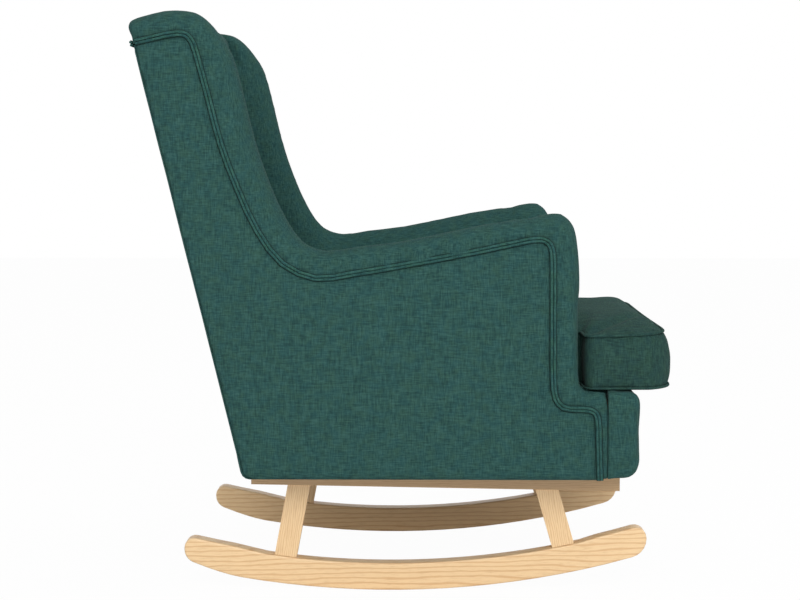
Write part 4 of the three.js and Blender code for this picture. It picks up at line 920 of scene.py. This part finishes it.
# %% Seat cushion
CUSHION_SMOOTHING = 3
CUSHION_PRESSURE = 4
CUSHION_SWELL = 0.015
CONFINED_SWELL = 0.002
CONFINED_SIDE = 0.225
CONFINED_FRONT = -0.29
CONFINED_REAR = 0.1
CUSHION_FOOT = 0.37
CROWN_SWELL = 0.0006
CROWN_START = 0.002
FOLD_START = 0.001
CROWN_SETTLE = 0.003
SETTLE_WIDTH = (0.02, 0.08)
PIPING_HOLD = 0.012
SEAM_DRAW = 0.016
SEAM_PULL = 0.85
RING_REACH = 0.009
CORD_BITE = 0.0028
PUCKER = 0.0045
PUCKERS_PER_METRE = 52
PUCKER_WIDTH = 0.012
DENT = 0.012
DENT_WIDTH = 0.013
DENT_FADE = 0.7
DENT_LINE = (Vector((-0.275, -0.32)), Vector((-0.14, -0.43)))
EAR_SAG = 0.0028
EAR_REACH = (-0.28, -0.31)
FRONT_SAG = 0.0035
FRONT_REACH = (-0.36, -0.42)
SAG_HEIGHT = (0.372, 0.42)
to_piping = near(corners("cushion_welt_top") + corners("cushion_welt_bottom"))
to_top_piping = near(corners("cushion_welt_top"))


def cushion_held(place):
    return max(0.0, 1 - to_piping(place)[2] / PIPING_HOLD)


def cushion_cap(place):
    """Between the arms and on the deck the case has little room to swell."""
    if place.z < CUSHION_FOOT:
        return PRESSED_SWELL
    if place.z > to_top_piping(place)[0].z + CROWN_START:
        return CROWN_SWELL
    beside_arm = place.y > CONFINED_FRONT and abs(place.x) > CONFINED_SIDE
    if beside_arm or place.y > CONFINED_REAR:
        return CONFINED_SWELL
    return CUSHION_SWELL


cushion = make_object("seat_cushion_case", merged("seat_cushion"))
remesh(cushion, VOXEL, CUSHION_SMOOTHING)
swell(cushion, CUSHION_PRESSURE, cushion_held, cushion_cap)


def crown_folds(place):
    """Puckers along the top piping, a crown that has settled, and a dent from the arm."""
    seam, _, distance = to_top_piping(place)
    if place.z < seam.z + FOLD_START:
        return 0.0
    pucker = PUCKER * noise.noise(place * PUCKERS_PER_METRE)
    pucker *= math.exp(-((distance - PUCKER_WIDTH) / PUCKER_WIDTH) ** 2)
    flat = place.xy - DENT_LINE[0]
    line = DENT_LINE[1] - DENT_LINE[0]
    share = min(1.0, max(0.0, flat.dot(line) / line.length_squared))
    aside = (flat - line * share).length
    settle = CROWN_SETTLE * ramp(distance, *SETTLE_WIDTH)
    dent = DENT * math.exp(-(aside / DENT_WIDTH) ** 2) * (1 - DENT_FADE * share)
    return pucker - settle - dent


def ear_sag(place):
    """How far the underside hangs down in front of the arms and past the apron."""
    sag = EAR_SAG * ramp(place.y, *EAR_REACH) + FRONT_SAG * ramp(place.y, *FRONT_REACH)
    return sag * (1 - ramp(place.z, *SAG_HEIGHT))


def hug(piping, case):
    """Draws a cord to the case beside it, ring by ring, where a corner was rounded off."""
    to_case = near([v.co for v in case.data.vertices])
    places = [v.co.copy() for v in piping.data.vertices]
    pulls = [to_case(place)[0] - place for place in places]
    rings = KDTree(len(places))
    for i, place in enumerate(places):
        rings.insert(place, i)
    rings.balance()
    for v, place in zip(piping.data.vertices, places):
        ring = [i for _, i, _ in rings.find_range(place, RING_REACH)]
        pull = sum((pulls[i] for i in ring), Vector()) / len(ring)
        if pull.length > CORD_BITE:
            v.co += pull * (1 - CORD_BITE / pull.length)


for v in cushion.data.vertices:
    seam, _, distance = to_piping(v.co)
    v.co = v.co.lerp(seam, SEAM_PULL * max(0.0, 1 - distance / SEAM_DRAW) ** 2)
    v.co.z += crown_folds(v.co) - ear_sag(v.co)
subdivide(cushion)
dress(cushion, cushion_cloth, ["seat_cushion"], "cushion")
for edge in ("top", "bottom"):
    node = f"cushion_welt_{edge}"
    piping = make_object(f"cushion_piping_{edge}", merged(node))
    for v in piping.data.vertices:
        v.co.z -= ear_sag(v.co)
    hug(piping, cushion)
    subdivide(piping)
    dress(piping, cushion_cloth, [node], "cushion")
print("cushion case of", len(cushion.data.polygons), "faces")

# %% [markdown]
# ## Double welts
# Where roll and panel meet, two thin cords wrapped in bias-cut cloth are sewn side by side on a
# tape and glued over the tacks. The solid shows their outline only. Here each cord is a round
# tube along the solid's two crests. The tape under them is grown wider and painted dark, as
# painted shade for the shadow line on either side.

# %% Double welts
CORD_RADIUS = 0.00225
CREST_DEPTH = 0.00006
TAPE_GROWTH = 0.0011
TAPE_EDGE = 0.0005
TAPE_FLATTENING = 0.75
FACING_OUT = 0.01

# The tape's cloth is painted dark: painted shade for the shadow line beside the cords.
painted_shade_tape_cloth = woven_cloth("shaded_welt_tape", "#1f3b3a", "#213d35", "#172d2c", "#284844")


def crest_chains(node, outward):
    """The two ridges of a double welt as lists of places, each in order along the welt."""
    bm = merged(node)
    top = max(v.co.dot(outward) for v in bm.verts) - CREST_DEPTH
    crest = {v for v in bm.verts if v.co.dot(outward) > top}
    beside = {v: [e.other_vert(v) for e in v.link_edges if e.other_vert(v) in crest]
              for v in crest}
    chains = []
    unused = set(crest)
    while unused:
        ends = [v for v in unused if len([w for w in beside[v] if w in unused]) == 1]
        here = min(ends, key=lambda v: v.co.zyx[:])
        chain = []
        while here is not None:
            unused.discard(here)
            chain.append(here.co.copy())
            here = next((w for w in beside[here] if w in unused), None)
        chains.append(chain)
    bm.free()
    return chains


def double_welt(name, node, outward):
    """Two round cords along the crests, and the tape pressed flat under them, painted dark as
    shade.
    """
    outward = Vector(outward)
    curve = bpy.data.curves.new(name, "CURVE")
    curve.dimensions = "3D"
    curve.bevel_depth = CORD_RADIUS
    curve.bevel_resolution = 3
    curve.use_fill_caps = True
    for chain in crest_chains(node, outward):
        spline = curve.splines.new("POLY")
        spline.points.add(len(chain) - 1)
        for point, place in zip(spline.points, chain):
            point.co = (*(place - outward * CORD_RADIUS), 1)
    line = bpy.data.objects.new(name + "_line", curve)
    scene.collection.objects.link(line)
    now = line.evaluated_get(bpy.context.evaluated_depsgraph_get())
    cords = bpy.data.objects.new(name, bpy.data.meshes.new_from_object(now))
    scene.collection.objects.link(cords)
    bpy.data.objects.remove(line)
    # The tape is grown past the cords so that its painted shade shows as a line on either side.
    bm = merged(node)
    foot = min(v.co.dot(outward) for v in bm.verts)
    for v in bm.verts:
        flat = v.normal - outward * v.normal.dot(outward)
        rise = v.co.dot(outward) - foot
        if flat.length > FACING_OUT and rise < TAPE_EDGE:
            v.co += flat.normalized() * TAPE_GROWTH
        v.co -= outward * (rise * TAPE_FLATTENING)
    tape = make_object(name + "_tape", bm)
    return cords, tape


welts = {
    "side_welt_right": ("side_double_welt_right", (-1, 0, 0)),
    "side_welt_left": ("side_double_welt_left", (1, 0, 0)),
    "back_welt": ("back_double_welt", (0, math.cos(LEAN), -math.sin(LEAN))),
}
for name, (node, outward) in welts.items():
    cords, tape = double_welt(name, node, outward)
    dress(cords, welt_cloth_painted_lighter, [node])
    dress(tape, painted_shade_tape_cloth, [node])
print("double welts on", ", ".join(welts))

# %% [markdown]
# ## Dust cover
# Black lining is stapled under the seat and hides the springs. It sags a little between the
# rails. Only the underside of the solid is kept, cut into a grid and given the thickness of
# the cloth.

# %% Dust cover
SAG = 0.002
SAG_HALF_WIDTH = 0.19
SAG_FRONT = -0.33
SAG_REAR = 0.2
SAG_GRID = 0.03
LINING_THICKNESS = 0.0004
UNDERSIDE_DEPTH = 0.0002

bm = merged("dust_cover")
low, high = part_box("dust_cover")
upper = [f for f in bm.faces if not all(v.co.z < low.z + UNDERSIDE_DEPTH for v in f.verts)]
bmesh.ops.delete(bm, geom=upper, context="FACES")
bmesh.ops.dissolve_limit(bm, angle_limit=FLAT, verts=bm.verts, edges=bm.edges)
for axis in (X, Y):
    sliced(bm, axis, low[axis], high[axis], SAG_GRID)
half_length = (SAG_REAR - SAG_FRONT) / 2
for v in bm.verts:
    across = max(0.0, 1 - (v.co.x / SAG_HALF_WIDTH) ** 2)
    along = max(0.0, (v.co.y - SAG_FRONT) * (SAG_REAR - v.co.y)) / half_length ** 2
    v.co.z -= SAG * across * along
cover_area = sum(face.calc_area() for face in bm.faces)
dust_cover = make_object("dust_cover_lining", bm)
thick = dust_cover.modifiers.new("thickness", "SOLIDIFY")
thick.thickness = LINING_THICKNESS
thick.offset = -1
dress(dust_cover, lining, ["dust_cover"])
print("dust cover of", round(cover_area, 3), "square metres")

# %% [markdown]
# ## Size
# The dressed chair has to keep the size of the solids, but for a little cloth that stands proud.

# %% Size and finish
visual_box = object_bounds()
for side, cad, seen in zip(("low", "high"), cad_box, visual_box):
    print(side, "corner moved", [round((s - c) * 1000, 1) for s, c in zip(seen, cad)], "mm")
